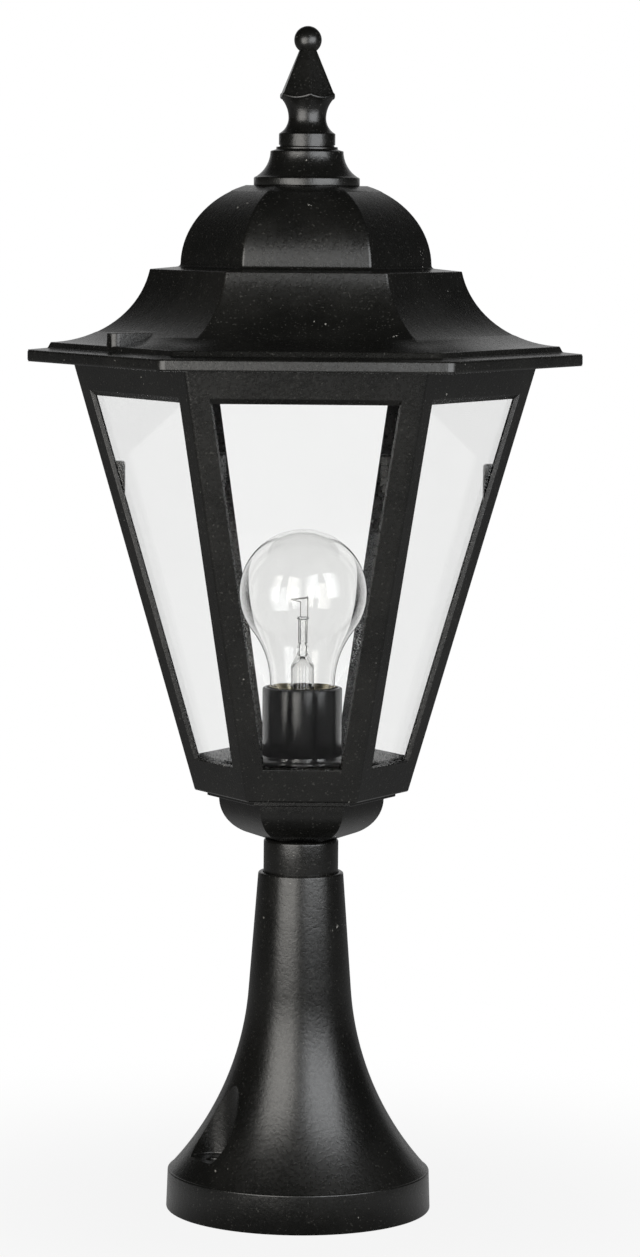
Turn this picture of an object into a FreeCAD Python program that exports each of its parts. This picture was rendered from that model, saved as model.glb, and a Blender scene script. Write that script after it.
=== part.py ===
import FreeCAD
import Part
import math
import os

# Garden pedestal lamp: a six-sided glazed lantern on a trumpet foot, all sizes in millimetres.
# The origin is the centre of the foot's underside, +Z is up and the front facet faces -Y.

# Fits between pieces
seat_gap = 0.25
thread_gap = 0.05
glass_gap = 0.2

# Pedestal
pedestal_height = 161.5
pedestal_wall = 4.0
foot_radius = 62.9
foot_ring_height = 18.8
foot_ring_draft = 0.6
foot_ring_round = 0.8
foot_edge_round = 0.8
neck_top_radius = 20.2
neck_taper_height = 56.5
neck_taper_angle = 4.2
rim_round = 0.9
bridge_thickness = 6.0
pocket_circle_radius = 46.6
pocket_radius = 12.0
pocket_floor = 27.5
pocket_wall = 3.5
fixing_hole_radius = 3.25
fixing_column_radius = 8.0
pocket_azimuths = (210.0, 30.0)

# Neck collar
collar_radius = 17.7
collar_recess = 3.0
collar_show = 16.0
collar_wall = 5.0
collar_round = 1.6

# Lower bowl, six-sided
bowl_foot_apothem = 15.2
bowl_slope_angle = 20.0
bowl_round = 17.5
bowl_apothem = 33.8
bowl_straight = 1.0
bowl_flange_apothem = 38.6
bowl_flange_thickness = 2.5
bowl_wall = 3.0

# Lantern cage, six-sided
cage_height = 202.0
cage_foot_apothem = 44.0
cage_top_apothem = 94.5
cage_wall = 1.9
cage_floor = 3.0
cage_flange_apothem = 106.5
cage_flange_thickness = 2.6
cage_edge_round = 0.6
cage_corner_round = 5.0
post_width = 9.4
sill_height = 15.6
head_height = 12.8
head_draft = 2.6
window_draft = 1.0
lug_face_radius = 83.2
lug_top_drop = 46.2
lug_depth = 40.0
lug_neck = 3.2
lug_wing = 10.0
lug_round = 1.5

# Glass panes
glass_thickness = 2.0
pane_top_drop = 6.0

# Roof, six-sided
eave_apothem = 113.6
eave_thickness = 5.6
eave_edge_round = 1.1
eave_corner_round = 5.0
eave_rise = 0.8
step_apothem = 105.0
step_height = 2.7
step_draft = 1.3
skirt_radius = 42.1
skirt_top_apothem = 63.6
skirt_height = 34.6
ledge_rise = 1.2
dome_foot_apothem = 51.2
dome_foot_round = 1.6
dome_radius = 39.6
dome_height = 36.7
dome_top_apothem = 24.6
roof_wall = 3.0
boss_radius = 4.4
boss_apothem = 100.4
boss_top_rise = 6.0
boss_azimuths = (210.0, 30.0)

# Roof screws, countersunk
roof_screw_radius = 2.0
roof_screw_head_radius = 3.9
roof_screw_head_height = 1.9
roof_screw_reach = 8.6
screw_slot_width = 1.0
screw_slot_depth = 0.8

# Finial
finial_base_radius = 24.8
finial_base_edge = 3.1
finial_base_lip = 0.9
finial_cove_radius = 17.4
finial_cove_height = 12.0
finial_cove_top_radius = 16.2
finial_step_in = 2.4
finial_step_height = 1.0
finial_band_radius = 13.2
finial_band_height = 5.4
finial_groove_height = 1.7
finial_waist_radius = 8.8
finial_waist_cove = 8.3
spire_cove = 13.4
spire_corner_radius = 12.9
spire_tip_radius = 4.4
spire_height = 21.2
ball_radius = 6.45
finial_bolt_radius = 3.0
finial_bolt_reach = 11.0
finial_hole_spare = 2.0
bolt_head_flats = 10.0
bolt_head_height = 4.0
washer_radius = 7.0
washer_thickness = 1.6

# Hollow rod that clamps the lantern to the pedestal
rod_radius = 5.0
rod_bore_radius = 3.5
rod_clearance = 0.3
rod_nut_flats = 14.0
rod_nut_height = 4.0
rod_washer_radius = 10.0
rod_washer_thickness = 1.6
rod_tail = 3.0
rod_grip = 5.0

# Terminal bracket and block inside the pedestal
bracket_thickness = 1.5
bracket_width = 14.0
bracket_leg_offset = 10.0
bracket_leg_length = 52.0
bracket_overlap = 9.0
block_width = 22.0
block_depth = 10.0
block_height = 17.0
block_ways = 3
block_way_pitch = 7.0
block_screw_radius = 1.5
block_hole_radius = 1.4
terminal_screw_radius = 1.6
terminal_screw_height = 1.4
terminal_screw_inset = 3.6
screw_head_radius = 2.8
screw_head_height = 1.8
screw_tail = 1.0
earth_screw_rise = 12.0
wire_radius = 0.8
wire_bend = 6.0
wire_spread = 1.5

# Lampholder
holder_base_radius = 20.4
holder_base_height = 10.4
holder_bead_round = 1.6
holder_skirt_radius = 18.8
holder_skirt_height = 32.2
holder_skirt_wall = 1.9
holder_edge_round = 1.0
holder_spigot_height = 5.0
insert_height = 10.0
insert_floor = 4.0
shell_radius = 13.4
shell_wall = 0.5
shell_height = 29.0
contact_radius = 4.0
contact_thickness = 1.4

# Bulb
bulb_radius = 30.0
bulb_centre_rise = 48.0
bulb_neck_radius = 15.3
bulb_neck_rise = 11.0
bulb_glass_wall = 0.8
cap_radius = 13.05
cap_height = 25.0
cap_wall = 0.4
insulator_radius = 11.0
insulator_height = 2.5
tip_radius = 4.8
tip_height = 1.5
stem_foot_radius = 5.5
stem_flare_height = 12.0
stem_pinch_radius = 2.2
stem_pinch_height = 11.0
stem_rod_radius = 1.7
stem_rod_height = 13.0
stem_button_radius = 2.65
stem_button_height = 2.4
lead_radius = 0.4
lead_spread = 9.0
lead_height = 21.0
lead_azimuth = 72.0
filament_radius = 0.45
filament_sag = 3.0

# Directions and heights that follow from the sizes above
UP = FreeCAD.Vector(0, 0, 1)
AXIS = FreeCAD.Vector(0, 0, 0)
HEX_TAN = math.tan(math.radians(30))
HEX_COS = math.cos(math.radians(30))
FACETS = range(6)
PAST = 1.0

recess_floor = pedestal_height - collar_recess
bridge_under = recess_floor - bridge_thickness
collar_top = pedestal_height + collar_show
bowl_turn = math.radians(90 - bowl_slope_angle)
bowl_tangent = bowl_apothem - bowl_round * (1 - math.cos(bowl_turn))
bowl_tangent_z = collar_top + (bowl_tangent - bowl_foot_apothem) * math.tan(math.radians(bowl_slope_angle))
bowl_centre_z = bowl_tangent_z + bowl_round * math.sin(bowl_turn)
bowl_flange_z = bowl_centre_z + bowl_straight
cage_z = bowl_flange_z + bowl_flange_thickness
floor_z = cage_z + cage_floor
cage_top = cage_z + cage_height
seat_z = cage_top + cage_flange_thickness
cage_slope = (cage_top_apothem - cage_foot_apothem) / cage_height
cage_cos = math.cos(math.atan(cage_slope))
eave_top = cage_top + eave_thickness
step_z = eave_top + eave_rise
skirt_foot = step_z + step_height
skirt_foot_apothem = step_apothem - step_draft
skirt_top = skirt_foot + skirt_height
dome_foot = skirt_top + ledge_rise + dome_foot_round
dome_top = dome_foot + dome_height
holder_z = floor_z + rod_nut_height
holder_ledge = holder_z + holder_base_height
insert_z = holder_z + rod_grip
shell_z = insert_z + insert_floor
tip_z = shell_z + contact_thickness
insulator_z = tip_z + tip_height
cap_z = insulator_z + insulator_height
glass_z = cap_z + cap_height
bulb_centre = glass_z + bulb_centre_rise


def at(point):
    """Point of an outline, given as distance from the axis and height."""
    return FreeCAD.Vector(point[0], 0, point[1])


def polar(radius, azimuth, z):
    """Point at a radius and an azimuth from +X."""
    angle = math.radians(azimuth)
    return FreeCAD.Vector(radius * math.cos(angle), radius * math.sin(angle), z)


def turned_about_axis(shape, azimuth):
    """Copy of a shape, turned about the lamp's axis."""
    return shape.rotated(AXIS, UP, azimuth)


def arc_centre(start, end, radius, hollow):
    """Centre of an arc between two points; a hollow arc has its centre on the outer side."""
    middle = ((start[0] + end[0]) / 2, (start[1] + end[1]) / 2)
    run = (end[0] - start[0], end[1] - start[1])
    chord = math.hypot(run[0], run[1])
    rise = math.sqrt(radius ** 2 - (chord / 2) ** 2)
    side = 1 if hollow else -1
    return (middle[0] + side * rise * run[1] / chord, middle[1] - side * rise * run[0] / chord)


def arc_to(start, end, centre):
    """Arc step of an outline: its middle point and its end."""
    radius = math.hypot(start[0] - centre[0], start[1] - centre[1])
    lean = ((start[0] + end[0]) / 2 - centre[0], (start[1] + end[1]) / 2 - centre[1])
    length = math.hypot(lean[0], lean[1])
    return ((centre[0] + lean[0] * radius / length, centre[1] + lean[1] * radius / length), end)


def round_to(start, end, corner):
    """Quarter-round step of an outline, tangent to the two runs that would meet at the corner."""
    centre = (start[0] + end[0] - corner[0], start[1] + end[1] - corner[1])
    return arc_to(start, end, centre)


def outline_edges(start, steps):
    """Edges through end points, and through (middle, end) pairs for arcs."""
    edges = []
    here = start
    for step in steps:
        if isinstance(step[0], tuple):
            middle, end = step
            edges.append(Part.Arc(at(here), at(middle), at(end)).toShape())
        else:
            end = step
            edges.append(Part.LineSegment(at(here), at(end)).toShape())
        here = end
    return edges, here


def turned(start, steps):
    """Solid turned about the lamp's axis from a closed outline."""
    edges, here = outline_edges(start, steps)
    if here != start:
        edges.append(Part.LineSegment(at(here), at(start)).toShape())
    return Part.Face(Part.Wire(edges)).revolve(AXIS, UP, 360)


def six_sided(start, steps):
    """Six-sided solid whose apothem follows an outline that runs from its bottom to its top."""
    edges, here = outline_edges(start, steps)
    mirrored = [edge.mirror(AXIS, FreeCAD.Vector(1, 0, 0)) for edge in edges]
    bottom = Part.LineSegment(at((-start[0], start[1])), at(start)).toShape()
    top = Part.LineSegment(at(here), at((-here[0], here[1]))).toShape()
    wire = Part.Wire(Part.__sortEdges__(edges + mirrored + [bottom, top]))
    reach = 2 * max(edge.BoundBox.XMax for edge in edges)
    slab = Part.Face(wire).extrude(FreeCAD.Vector(0, 2 * reach, 0))
    slab.translate(FreeCAD.Vector(0, -reach, 0))
    first, second, third = [turned_about_axis(slab, angle) for angle in (30, 90, 150)]
    return first.common(second).common(third)


def hexagon_prism(flats, height, z, azimuth=0.0):
    """Hexagonal bar across its flats, as for a nut or a bolt's head."""
    corners = [polar(flats / 2 / HEX_COS, azimuth + 60 * k, z) for k in range(7)]
    return Part.Face(Part.makePolygon(corners)).extrude(UP * height)


def ring(outer, inner, z, height):
    """Flat ring or short tube on the lamp's axis."""
    at_z = FreeCAD.Vector(0, 0, z)
    tube = Part.makeCylinder(outer, height, at_z)
    return tube.cut(Part.makeCylinder(inner, height, at_z))


def post(radius, height, foot):
    """Upright cylinder on a point."""
    return Part.makeCylinder(radius, height, foot)


def neck_centre():
    """Centre of the foot's flare, an arc tangent to the neck's taper that ends on the foot ring."""
    angle = math.radians(neck_taper_angle)
    tangent = (neck_top_radius + neck_taper_height * math.tan(angle), pedestal_height - neck_taper_height)
    run = foot_radius - foot_ring_draft - foot_ring_round - tangent[0]
    drop = tangent[1] - foot_ring_height
    radius = (run ** 2 + drop ** 2) / (2 * (run * math.cos(angle) - drop * math.sin(angle)))
    centre = (tangent[0] + radius * math.cos(angle), tangent[1] + radius * math.sin(angle))
    return tangent, centre, radius


def pedestal_outside():
    """Trumpet-shaped outside of the pedestal, closed at the top and bottom."""
    tangent, centre, _ = neck_centre()
    foot = (foot_radius - foot_edge_round, 0)
    foot_edge = (foot_radius, foot_edge_round)
    ring_radius = foot_radius - foot_ring_draft
    ring_edge = (ring_radius, foot_ring_height - foot_ring_round)
    flare = (ring_radius - foot_ring_round, foot_ring_height)
    rim = (neck_top_radius, pedestal_height - rim_round)
    rim_top = (neck_top_radius - rim_round, pedestal_height)
    steps = [
        foot,
        round_to(foot, foot_edge, (foot_radius, 0)),
        ring_edge,
        round_to(ring_edge, flare, (ring_radius, foot_ring_height)),
        arc_to(flare, tangent, centre),
        rim,
        round_to(rim, rim_top, (neck_top_radius, pedestal_height)),
        (0, pedestal_height),
    ]
    return turned((0, 0), steps)


def pedestal_hollow():
    """Inside of the pedestal, one wall in from its outside and open at the foot."""
    tangent, centre, radius = neck_centre()
    angle = math.radians(neck_taper_angle)
    inner = radius + pedestal_wall
    mouth = foot_radius - foot_ring_draft - pedestal_wall
    lip_z = centre[1] - math.sqrt(inner ** 2 - (centre[0] - mouth) ** 2)
    taper = (tangent[0] - pedestal_wall * math.cos(angle), tangent[1] - pedestal_wall * math.sin(angle))
    crown = (taper[0] - (bridge_under - taper[1]) * math.tan(angle), bridge_under)
    steps = [(mouth, -PAST), (mouth, lip_z), arc_to((mouth, lip_z), taper, centre), crown, (0, bridge_under)]
    return turned((0, -PAST), steps)


def pedestal():
    """Cast foot and neck, with a screw pocket cut into the flare over each fixing hole."""
    outside = pedestal_outside()
    body = outside.cut(pedestal_hollow())
    for azimuth in pocket_azimuths:
        foot = polar(pocket_circle_radius, azimuth, 0)
        case_foot = polar(pocket_circle_radius, azimuth, pocket_floor - pocket_wall)
        case = post(pocket_radius + pocket_wall, pedestal_height, case_foot)
        column = post(fixing_column_radius, pocket_floor, foot)
        body = body.fuse(case.fuse(column).common(outside))
    for azimuth in pocket_azimuths:
        floor = polar(pocket_circle_radius, azimuth, pocket_floor)
        below = polar(pocket_circle_radius, azimuth, -PAST)
        body = body.cut(post(pocket_radius, pedestal_height, floor))
        body = body.cut(post(fixing_hole_radius, pedestal_height, below))
    recess = post(collar_radius + seat_gap, pedestal_height, FreeCAD.Vector(0, 0, recess_floor))
    rod_hole = post(rod_radius + rod_clearance, pedestal_height, FreeCAD.Vector(0, 0, bridge_under - PAST))
    return body.cut(recess).cut(rod_hole).removeSplitter()


def neck_collar():
    """Round spacer between the pedestal and the bowl."""
    inner = collar_radius - collar_wall
    shoulder = (collar_radius, collar_top - collar_round)
    top = (collar_radius - collar_round, collar_top)
    steps = [
        (collar_radius, recess_floor),
        shoulder,
        round_to(shoulder, top, (collar_radius, collar_top)),
        (inner, collar_top),
    ]
    return turned((inner, recess_floor), steps)


def lower_bowl():
    """Six-sided cast bowl with a flange that carries the cage."""
    centre = (bowl_apothem - bowl_round, bowl_centre_z)
    tangent = (bowl_tangent, bowl_tangent_z)
    side = (bowl_apothem, bowl_centre_z)
    outside = six_sided((bowl_foot_apothem, collar_top), [
        tangent,
        arc_to(tangent, side, centre),
        (bowl_apothem, bowl_flange_z),
        (bowl_flange_apothem, bowl_flange_z),
        (bowl_flange_apothem, cage_z),
    ])
    inner_round = bowl_round - bowl_wall
    inner_side = (bowl_apothem - bowl_wall, bowl_centre_z)
    inner_foot = (bowl_apothem - bowl_round, bowl_centre_z - inner_round)
    inside = six_sided(inner_foot, [
        arc_to(inner_foot, inner_side, centre),
        (inner_side[0], cage_z + PAST),
    ])
    rod_hole = post(rod_radius + rod_clearance, cage_z, FreeCAD.Vector(0, 0, collar_top - PAST))
    return outside.cut(inside).cut(rod_hole).removeSplitter()


def cage_apothem(z, inset=0.0):
    """Apothem of the cage's slanted side at a height, inset square to the side."""
    return cage_foot_apothem + (z - cage_z) * cage_slope - inset / cage_cos


def cage_frustum(inset, low, high):
    """Six-sided space inside the cage's slanted sides."""
    return six_sided((cage_apothem(low, inset), low), [(cage_apothem(high, inset), high)])


def facet_trapezium(depth, low, high, margin):
    """Outline on the front facet, sunk to a depth, with a margin from the facet's corners."""
    corners = []
    for side, z in ((-1, low), (1, low), (1, high), (-1, high)):
        half = cage_apothem(z) * HEX_TAN - margin
        corners.append(FreeCAD.Vector(side * half, -cage_apothem(z, depth), z))
    return Part.makePolygon(corners + corners[:1])


def window():
    """Cutter of the front window, which narrows towards the inside."""
    sections = []
    for depth in (-PAST, cage_wall + PAST):
        share = depth / cage_wall
        draft = window_draft * share
        low = cage_z + sill_height + draft
        high = cage_top - head_height - head_draft * share
        sections.append(facet_trapezium(depth, low, high, post_width + draft))
    return Part.makeLoft(sections, True, True)


def pane_lug():
    """Wedge on the +X post: its neck passes between two panes and its wings hold them."""
    top = cage_top - lug_top_drop
    outer = cage_top_apothem / HEX_COS
    shoulder = (lug_face_radius, top - lug_round)
    crown = (lug_face_radius + lug_round, top)
    steps = [
        shoulder,
        round_to(shoulder, crown, (lug_face_radius, top)),
        (outer, top),
        (outer, top - lug_depth),
        (lug_face_radius, top - lug_depth),
    ]
    edges, _ = outline_edges((lug_face_radius, top - lug_depth), steps)
    side = Part.Face(Part.Wire(edges))
    behind_glass = cage_wall + glass_thickness + 2 * glass_gap
    pieces = []
    for width, inset in ((lug_wing, behind_glass), (lug_neck, cage_wall / 2)):
        bar = side.extrude(FreeCAD.Vector(0, width, 0))
        bar.translate(FreeCAD.Vector(0, -width / 2, 0))
        pieces.append(bar.common(cage_frustum(inset, top - lug_depth - PAST, top + PAST)))
    return pieces[0].fuse(pieces[1])


def lantern_cage():
    """Cast frame of the lantern: floor, six posts with lugs, rails and a hidden top flange."""
    foot = (cage_foot_apothem - cage_edge_round, cage_z)
    foot_edge = (cage_apothem(cage_z + cage_edge_round), cage_z + cage_edge_round)
    sides = cage_frustum(0.0, cage_z, cage_top)
    corners = [edge for edge in sides.Edges if edge.BoundBox.ZLength > cage_height / 2]
    sides = sides.makeFillet(cage_corner_round, corners)
    outside = six_sided(foot, [foot_edge, (cage_top_apothem, cage_top)]).common(sides)
    flange = six_sided((cage_flange_apothem, cage_top), [(cage_flange_apothem, seat_z)])
    cage = outside.fuse(flange).cut(cage_frustum(cage_wall, floor_z, seat_z + PAST))
    lug = pane_lug()
    opening = window()
    for facet in FACETS:
        cage = cage.fuse(turned_about_axis(lug, 60 * facet))
    for facet in FACETS:
        cage = cage.cut(turned_about_axis(opening, 60 * facet))
    for azimuth in boss_azimuths:
        below = polar(boss_apothem, azimuth, cage_top - PAST)
        cage = cage.cut(post(roof_screw_radius + seat_gap, cage_flange_thickness + 2 * PAST, below))
        cage = cage.cut(turned_countersink(azimuth))
    rod_hole = post(rod_radius + rod_clearance, cage_floor + 2 * PAST, FreeCAD.Vector(0, 0, cage_z - PAST))
    return cage.cut(rod_hole).removeSplitter()


def turned_countersink(azimuth):
    """Countersink under the cage's flange for a roof screw's head."""
    head = roof_screw_head_radius + seat_gap
    neck = roof_screw_radius + seat_gap
    return Part.makeCone(head, neck, roof_screw_head_height, polar(boss_apothem, azimuth, cage_top))


def pane():
    """Front pane, which stands on the cage's floor behind the window."""
    depth = cage_wall + glass_gap
    inner = (depth + glass_thickness) / cage_cos * HEX_TAN
    margin = inner + lug_neck / 2 / HEX_COS + glass_gap
    outline = facet_trapezium(depth, floor_z, cage_top - pane_top_drop, margin)
    inward = FreeCAD.Vector(0, 1, cage_slope)
    inward.normalize()
    return Part.Face(outline).extrude(inward * glass_thickness)


def roof_arcs():
    """End points and centres of the skirt and the dome."""
    skirt = ((skirt_foot_apothem, skirt_foot), (skirt_top_apothem, skirt_top))
    dome = ((dome_foot_apothem, dome_foot), (dome_top_apothem, dome_top))
    skirt_centre = arc_centre(skirt[0], skirt[1], skirt_radius, True)
    dome_centre = arc_centre(dome[0], dome[1], dome_radius, False)
    return skirt, skirt_centre, dome, dome_centre


def roof_outside():
    """Outside of the roof: eave, step, hollow skirt, ledge and dome."""
    skirt, skirt_centre, dome, dome_centre = roof_arcs()
    low = (eave_apothem - eave_edge_round, cage_top)
    low_edge = (eave_apothem, cage_top + eave_edge_round)
    high_edge = (eave_apothem, eave_top - eave_edge_round)
    high = (eave_apothem - eave_edge_round, eave_top)
    ledge = (dome_foot_apothem + dome_foot_round, dome_foot - dome_foot_round)
    return six_sided(low, [
        round_to(low, low_edge, (eave_apothem, cage_top)),
        high_edge,
        round_to(high_edge, high, (eave_apothem, eave_top)),
        (step_apothem, step_z),
        skirt[0],
        arc_to(skirt[0], skirt[1], skirt_centre),
        ledge,
        round_to(ledge, dome[0], (dome_foot_apothem, dome_foot - dome_foot_round)),
        arc_to(dome[0], dome[1], dome_centre),
    ])


def roof_hollow():
    """Inside of the roof, with the rebate that takes the cage's flange."""
    skirt, skirt_centre, dome, dome_centre = roof_arcs()
    rebate = cage_flange_apothem + seat_gap
    mouth = cage_apothem(cage_top, cage_wall)
    skirt_inner = skirt_radius + roof_wall
    dome_inner = dome_radius - roof_wall
    skirt_low = (mouth, skirt_centre[1] - math.sqrt(skirt_inner ** 2 - (skirt_centre[0] - mouth) ** 2))
    under_ledge = skirt_top - roof_wall
    skirt_high = (skirt_centre[0] - math.sqrt(skirt_inner ** 2 - (skirt_centre[1] - under_ledge) ** 2), under_ledge)
    dome_low_apothem = dome_centre[0] + math.sqrt(dome_inner ** 2 - (dome_foot - dome_centre[1]) ** 2)
    under_top = dome_top - roof_wall
    dome_high = (dome_centre[0] + math.sqrt(dome_inner ** 2 - (under_top - dome_centre[1]) ** 2), under_top)
    return six_sided((rebate, cage_top - PAST), [
        (rebate, seat_z),
        (mouth, seat_z),
        skirt_low,
        arc_to(skirt_low, skirt_high, skirt_centre),
        (dome_low_apothem, under_ledge),
        (dome_low_apothem, dome_foot),
        arc_to((dome_low_apothem, dome_foot), dome_high, dome_centre),
    ])


def corner_trim():
    """Bar with rounded corners that the eave is cut to."""
    bar = hexagon_prism(2 * eave_apothem, dome_top, cage_top - PAST)
    corners = [edge for edge in bar.Edges if edge.BoundBox.ZLength > dome_top / 2]
    return bar.makeFillet(eave_corner_round, corners)


def roof_boss(azimuth):
    """Blind boss for a roof screw, which runs back into the skirt."""
    top = skirt_foot + boss_top_rise
    height = top - seat_z
    nose = post(boss_radius, height, FreeCAD.Vector(boss_apothem, 0, seat_z))
    back = Part.makeBox(boss_apothem - skirt_top_apothem, 2 * boss_radius, height)
    back.translate(FreeCAD.Vector(skirt_top_apothem, -boss_radius, seat_z))
    return turned_about_axis(nose.fuse(back), azimuth)


def roof():
    """Cast roof shell, seated over the cage's flange."""
    body = roof_outside().common(corner_trim())
    for azimuth in boss_azimuths:
        body = body.fuse(roof_boss(azimuth))
    body = body.cut(roof_hollow())
    for azimuth in boss_azimuths:
        mouth = polar(boss_apothem, azimuth, seat_z - PAST)
        body = body.cut(post(roof_screw_radius + thread_gap, roof_screw_reach + 2 * PAST, mouth))
    bolt_hole = post(finial_bolt_radius + seat_gap, roof_wall + 2 * PAST, FreeCAD.Vector(0, 0, dome_top - roof_wall - PAST))
    return body.cut(bolt_hole).removeSplitter()


def roof_screws():
    """Two countersunk screws that hold the roof from under the cage's flange."""
    screws = []
    for azimuth in boss_azimuths:
        foot = polar(boss_apothem, azimuth, cage_top)
        head = Part.makeCone(roof_screw_head_radius, roof_screw_radius, roof_screw_head_height, foot)
        shank = post(roof_screw_radius, cage_flange_thickness + roof_screw_reach, foot)
        slot = Part.makeBox(2 * roof_screw_head_radius, screw_slot_width, screw_slot_depth)
        slot.translate(foot - FreeCAD.Vector(roof_screw_head_radius, screw_slot_width / 2, 0))
        screws.append(head.fuse(shank).cut(slot).removeSplitter())
    return Part.makeCompound(screws)


def finial_heights():
    """Heights of the finial's turned mouldings, from its base up."""
    cove = dome_top + finial_base_edge + finial_base_lip
    step = cove + finial_cove_height
    groove = step + finial_step_height
    band = groove + finial_groove_height
    waist = band + finial_band_height
    return cove, step, groove, band, waist


def cove_rise(cove):
    """Height over which a cove widens from the waist to the band's radius."""
    overhang = cove - (finial_band_radius - finial_waist_radius)
    return math.sqrt(cove ** 2 - overhang ** 2)


def finial_base():
    """Turned lower part of the finial, up to the waist."""
    cove, step, groove, band, waist_z = finial_heights()
    low = (finial_band_radius, waist_z)
    centre = (finial_waist_radius + finial_waist_cove, waist_z + cove_rise(finial_waist_cove))
    edge = (finial_base_radius, dome_top + finial_base_edge)
    lip = (finial_base_radius - finial_base_lip, cove)
    cove_top = (finial_cove_top_radius, step)
    narrowest = (finial_waist_radius, centre[1])
    return turned((0, dome_top), [
        (finial_base_radius, dome_top),
        edge,
        round_to(edge, lip, (finial_base_radius, cove)),
        arc_to(lip, cove_top, arc_centre(lip, cove_top, finial_cove_radius, True)),
        (finial_cove_top_radius - finial_step_in, groove),
        (finial_band_radius, band),
        low,
        arc_to(low, narrowest, centre),
        (0, centre[1]),
    ])


def finial_spire():
    """Four-sided spire whose lower edges are scalloped by the round waist."""
    centre = (finial_waist_radius + spire_cove, finial_heights()[4] + cove_rise(finial_waist_cove))
    high = (finial_band_radius, centre[1] + cove_rise(spire_cove))
    narrowest = (finial_waist_radius, centre[1])
    tip_z = high[1] + spire_height
    slope = (spire_corner_radius - spire_tip_radius) / spire_height
    flare = turned((0, centre[1]), [
        narrowest,
        arc_to(narrowest, high, centre),
        (2 * finial_band_radius, high[1] + finial_band_radius),
        (2 * finial_band_radius, tip_z),
        (0, tip_z),
    ])
    sections = []
    for z in (centre[1], tip_z):
        radius = spire_tip_radius + (tip_z - z) * slope
        sections.append(Part.makePolygon([polar(radius, 90 * k, z) for k in range(5)]))
    return flare.common(Part.makeLoft(sections, True, True)), tip_z


def finial():
    """Cast finial with a blind hole in its base."""
    spire, tip_z = finial_spire()
    ball_z = tip_z + math.sqrt(ball_radius ** 2 - (spire_tip_radius * HEX_COS) ** 2)
    ball = Part.makeSphere(ball_radius, FreeCAD.Vector(0, 0, ball_z))
    depth = finial_bolt_reach + finial_hole_spare
    hole = post(finial_bolt_radius + thread_gap, depth + PAST, FreeCAD.Vector(0, 0, dome_top - PAST))
    return finial_base().fuse(spire).fuse(ball).cut(hole).removeSplitter()


def finial_washer():
    """Washer between the bolt's head and the roof."""
    z = dome_top - roof_wall - washer_thickness
    return ring(washer_radius, finial_bolt_radius + seat_gap, z, washer_thickness)


def finial_bolt():
    """Bolt that holds the finial from inside the roof."""
    head_z = dome_top - roof_wall - washer_thickness - bolt_head_height
    head = hexagon_prism(bolt_head_flats, bolt_head_height, head_z)
    length = bolt_head_height + washer_thickness + roof_wall + finial_bolt_reach
    return head.fuse(post(finial_bolt_radius, length, FreeCAD.Vector(0, 0, head_z))).removeSplitter()


def clamp_heights():
    """Undersides of the parts clamped below the pedestal's bridge: washer, bracket, nut and rod."""
    washer_z = bridge_under - rod_washer_thickness
    bracket_z = washer_z - bracket_thickness
    nut_z = bracket_z - rod_nut_height
    return washer_z, bracket_z, nut_z, nut_z - rod_tail


def threaded_rod():
    """Hollow rod from the lampholder down through the pedestal's bridge."""
    low = clamp_heights()[3]
    return ring(rod_radius, rod_bore_radius, low, holder_z + rod_grip - low)


def rod_nut(z):
    """Thin hexagon nut on the rod."""
    nut = hexagon_prism(rod_nut_flats, rod_nut_height, z)
    return nut.cut(post(rod_radius + thread_gap, rod_nut_height, FreeCAD.Vector(0, 0, z)))


def terminal_bracket():
    """Bent strip, clamped under the bridge, whose leg carries the terminal block."""
    z = clamp_heights()[1]
    length = bracket_leg_offset + bracket_thickness + bracket_overlap
    tab = Part.makeBox(length, bracket_width, bracket_thickness)
    tab.translate(FreeCAD.Vector(-bracket_overlap, -bracket_width / 2, z))
    leg = Part.makeBox(bracket_thickness, bracket_width, bracket_leg_length)
    leg.translate(FreeCAD.Vector(bracket_leg_offset, -bracket_width / 2, z + bracket_thickness - bracket_leg_length))
    rod_hole = post(rod_radius + rod_clearance, bracket_thickness, FreeCAD.Vector(0, 0, z))
    strip = tab.fuse(leg).cut(rod_hole)
    for z_screw in (block_screw_z(), earth_screw_z()):
        strip = strip.cut(leg_bore(block_screw_radius + thread_gap, z_screw))
    return strip.removeSplitter()


def block_z():
    """Underside of the terminal block, level with the end of the bracket's leg."""
    return clamp_heights()[1] + bracket_thickness - bracket_leg_length


def block_screw_z():
    """Height of the screw that holds the terminal block."""
    return block_z() + block_height / 2


def earth_screw_z():
    """Height of the earth screw on the bracket's leg."""
    return block_z() + block_height + earth_screw_rise


def leg_bore(radius, z):
    """Level bore through the bracket's leg and what is fixed to it."""
    length = block_depth + bracket_thickness + 2 * PAST
    start = FreeCAD.Vector(bracket_leg_offset - block_depth - PAST, 0, z)
    return Part.makeCylinder(radius, length, start, FreeCAD.Vector(1, 0, 0))


def way_centres():
    """Sideways places of the terminal block's ways."""
    return [(way - (block_ways - 1) / 2) * block_way_pitch for way in range(block_ways)]


def terminal_block():
    """Moulded terminal block with a wire hole through each way and a screw well on its face."""
    block = Part.makeBox(block_depth, block_width, block_height)
    block.translate(FreeCAD.Vector(bracket_leg_offset - block_depth, -block_width / 2, block_z()))
    x = bracket_leg_offset - block_depth / 2
    for y in way_centres():
        block = block.cut(post(block_hole_radius, block_height, FreeCAD.Vector(x, y, block_z())))
        for z in way_screw_heights():
            face = FreeCAD.Vector(bracket_leg_offset - block_depth, y, z)
            well = terminal_screw_radius + seat_gap
            depth = terminal_screw_height + seat_gap
            block = block.cut(Part.makeCylinder(well, depth, face, FreeCAD.Vector(1, 0, 0)))
    return block.cut(leg_bore(block_screw_radius + thread_gap, block_screw_z()))


def way_screw_heights():
    """Heights of the two clamp screws of a way."""
    return (block_z() + terminal_screw_inset, block_z() + block_height - terminal_screw_inset)


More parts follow.
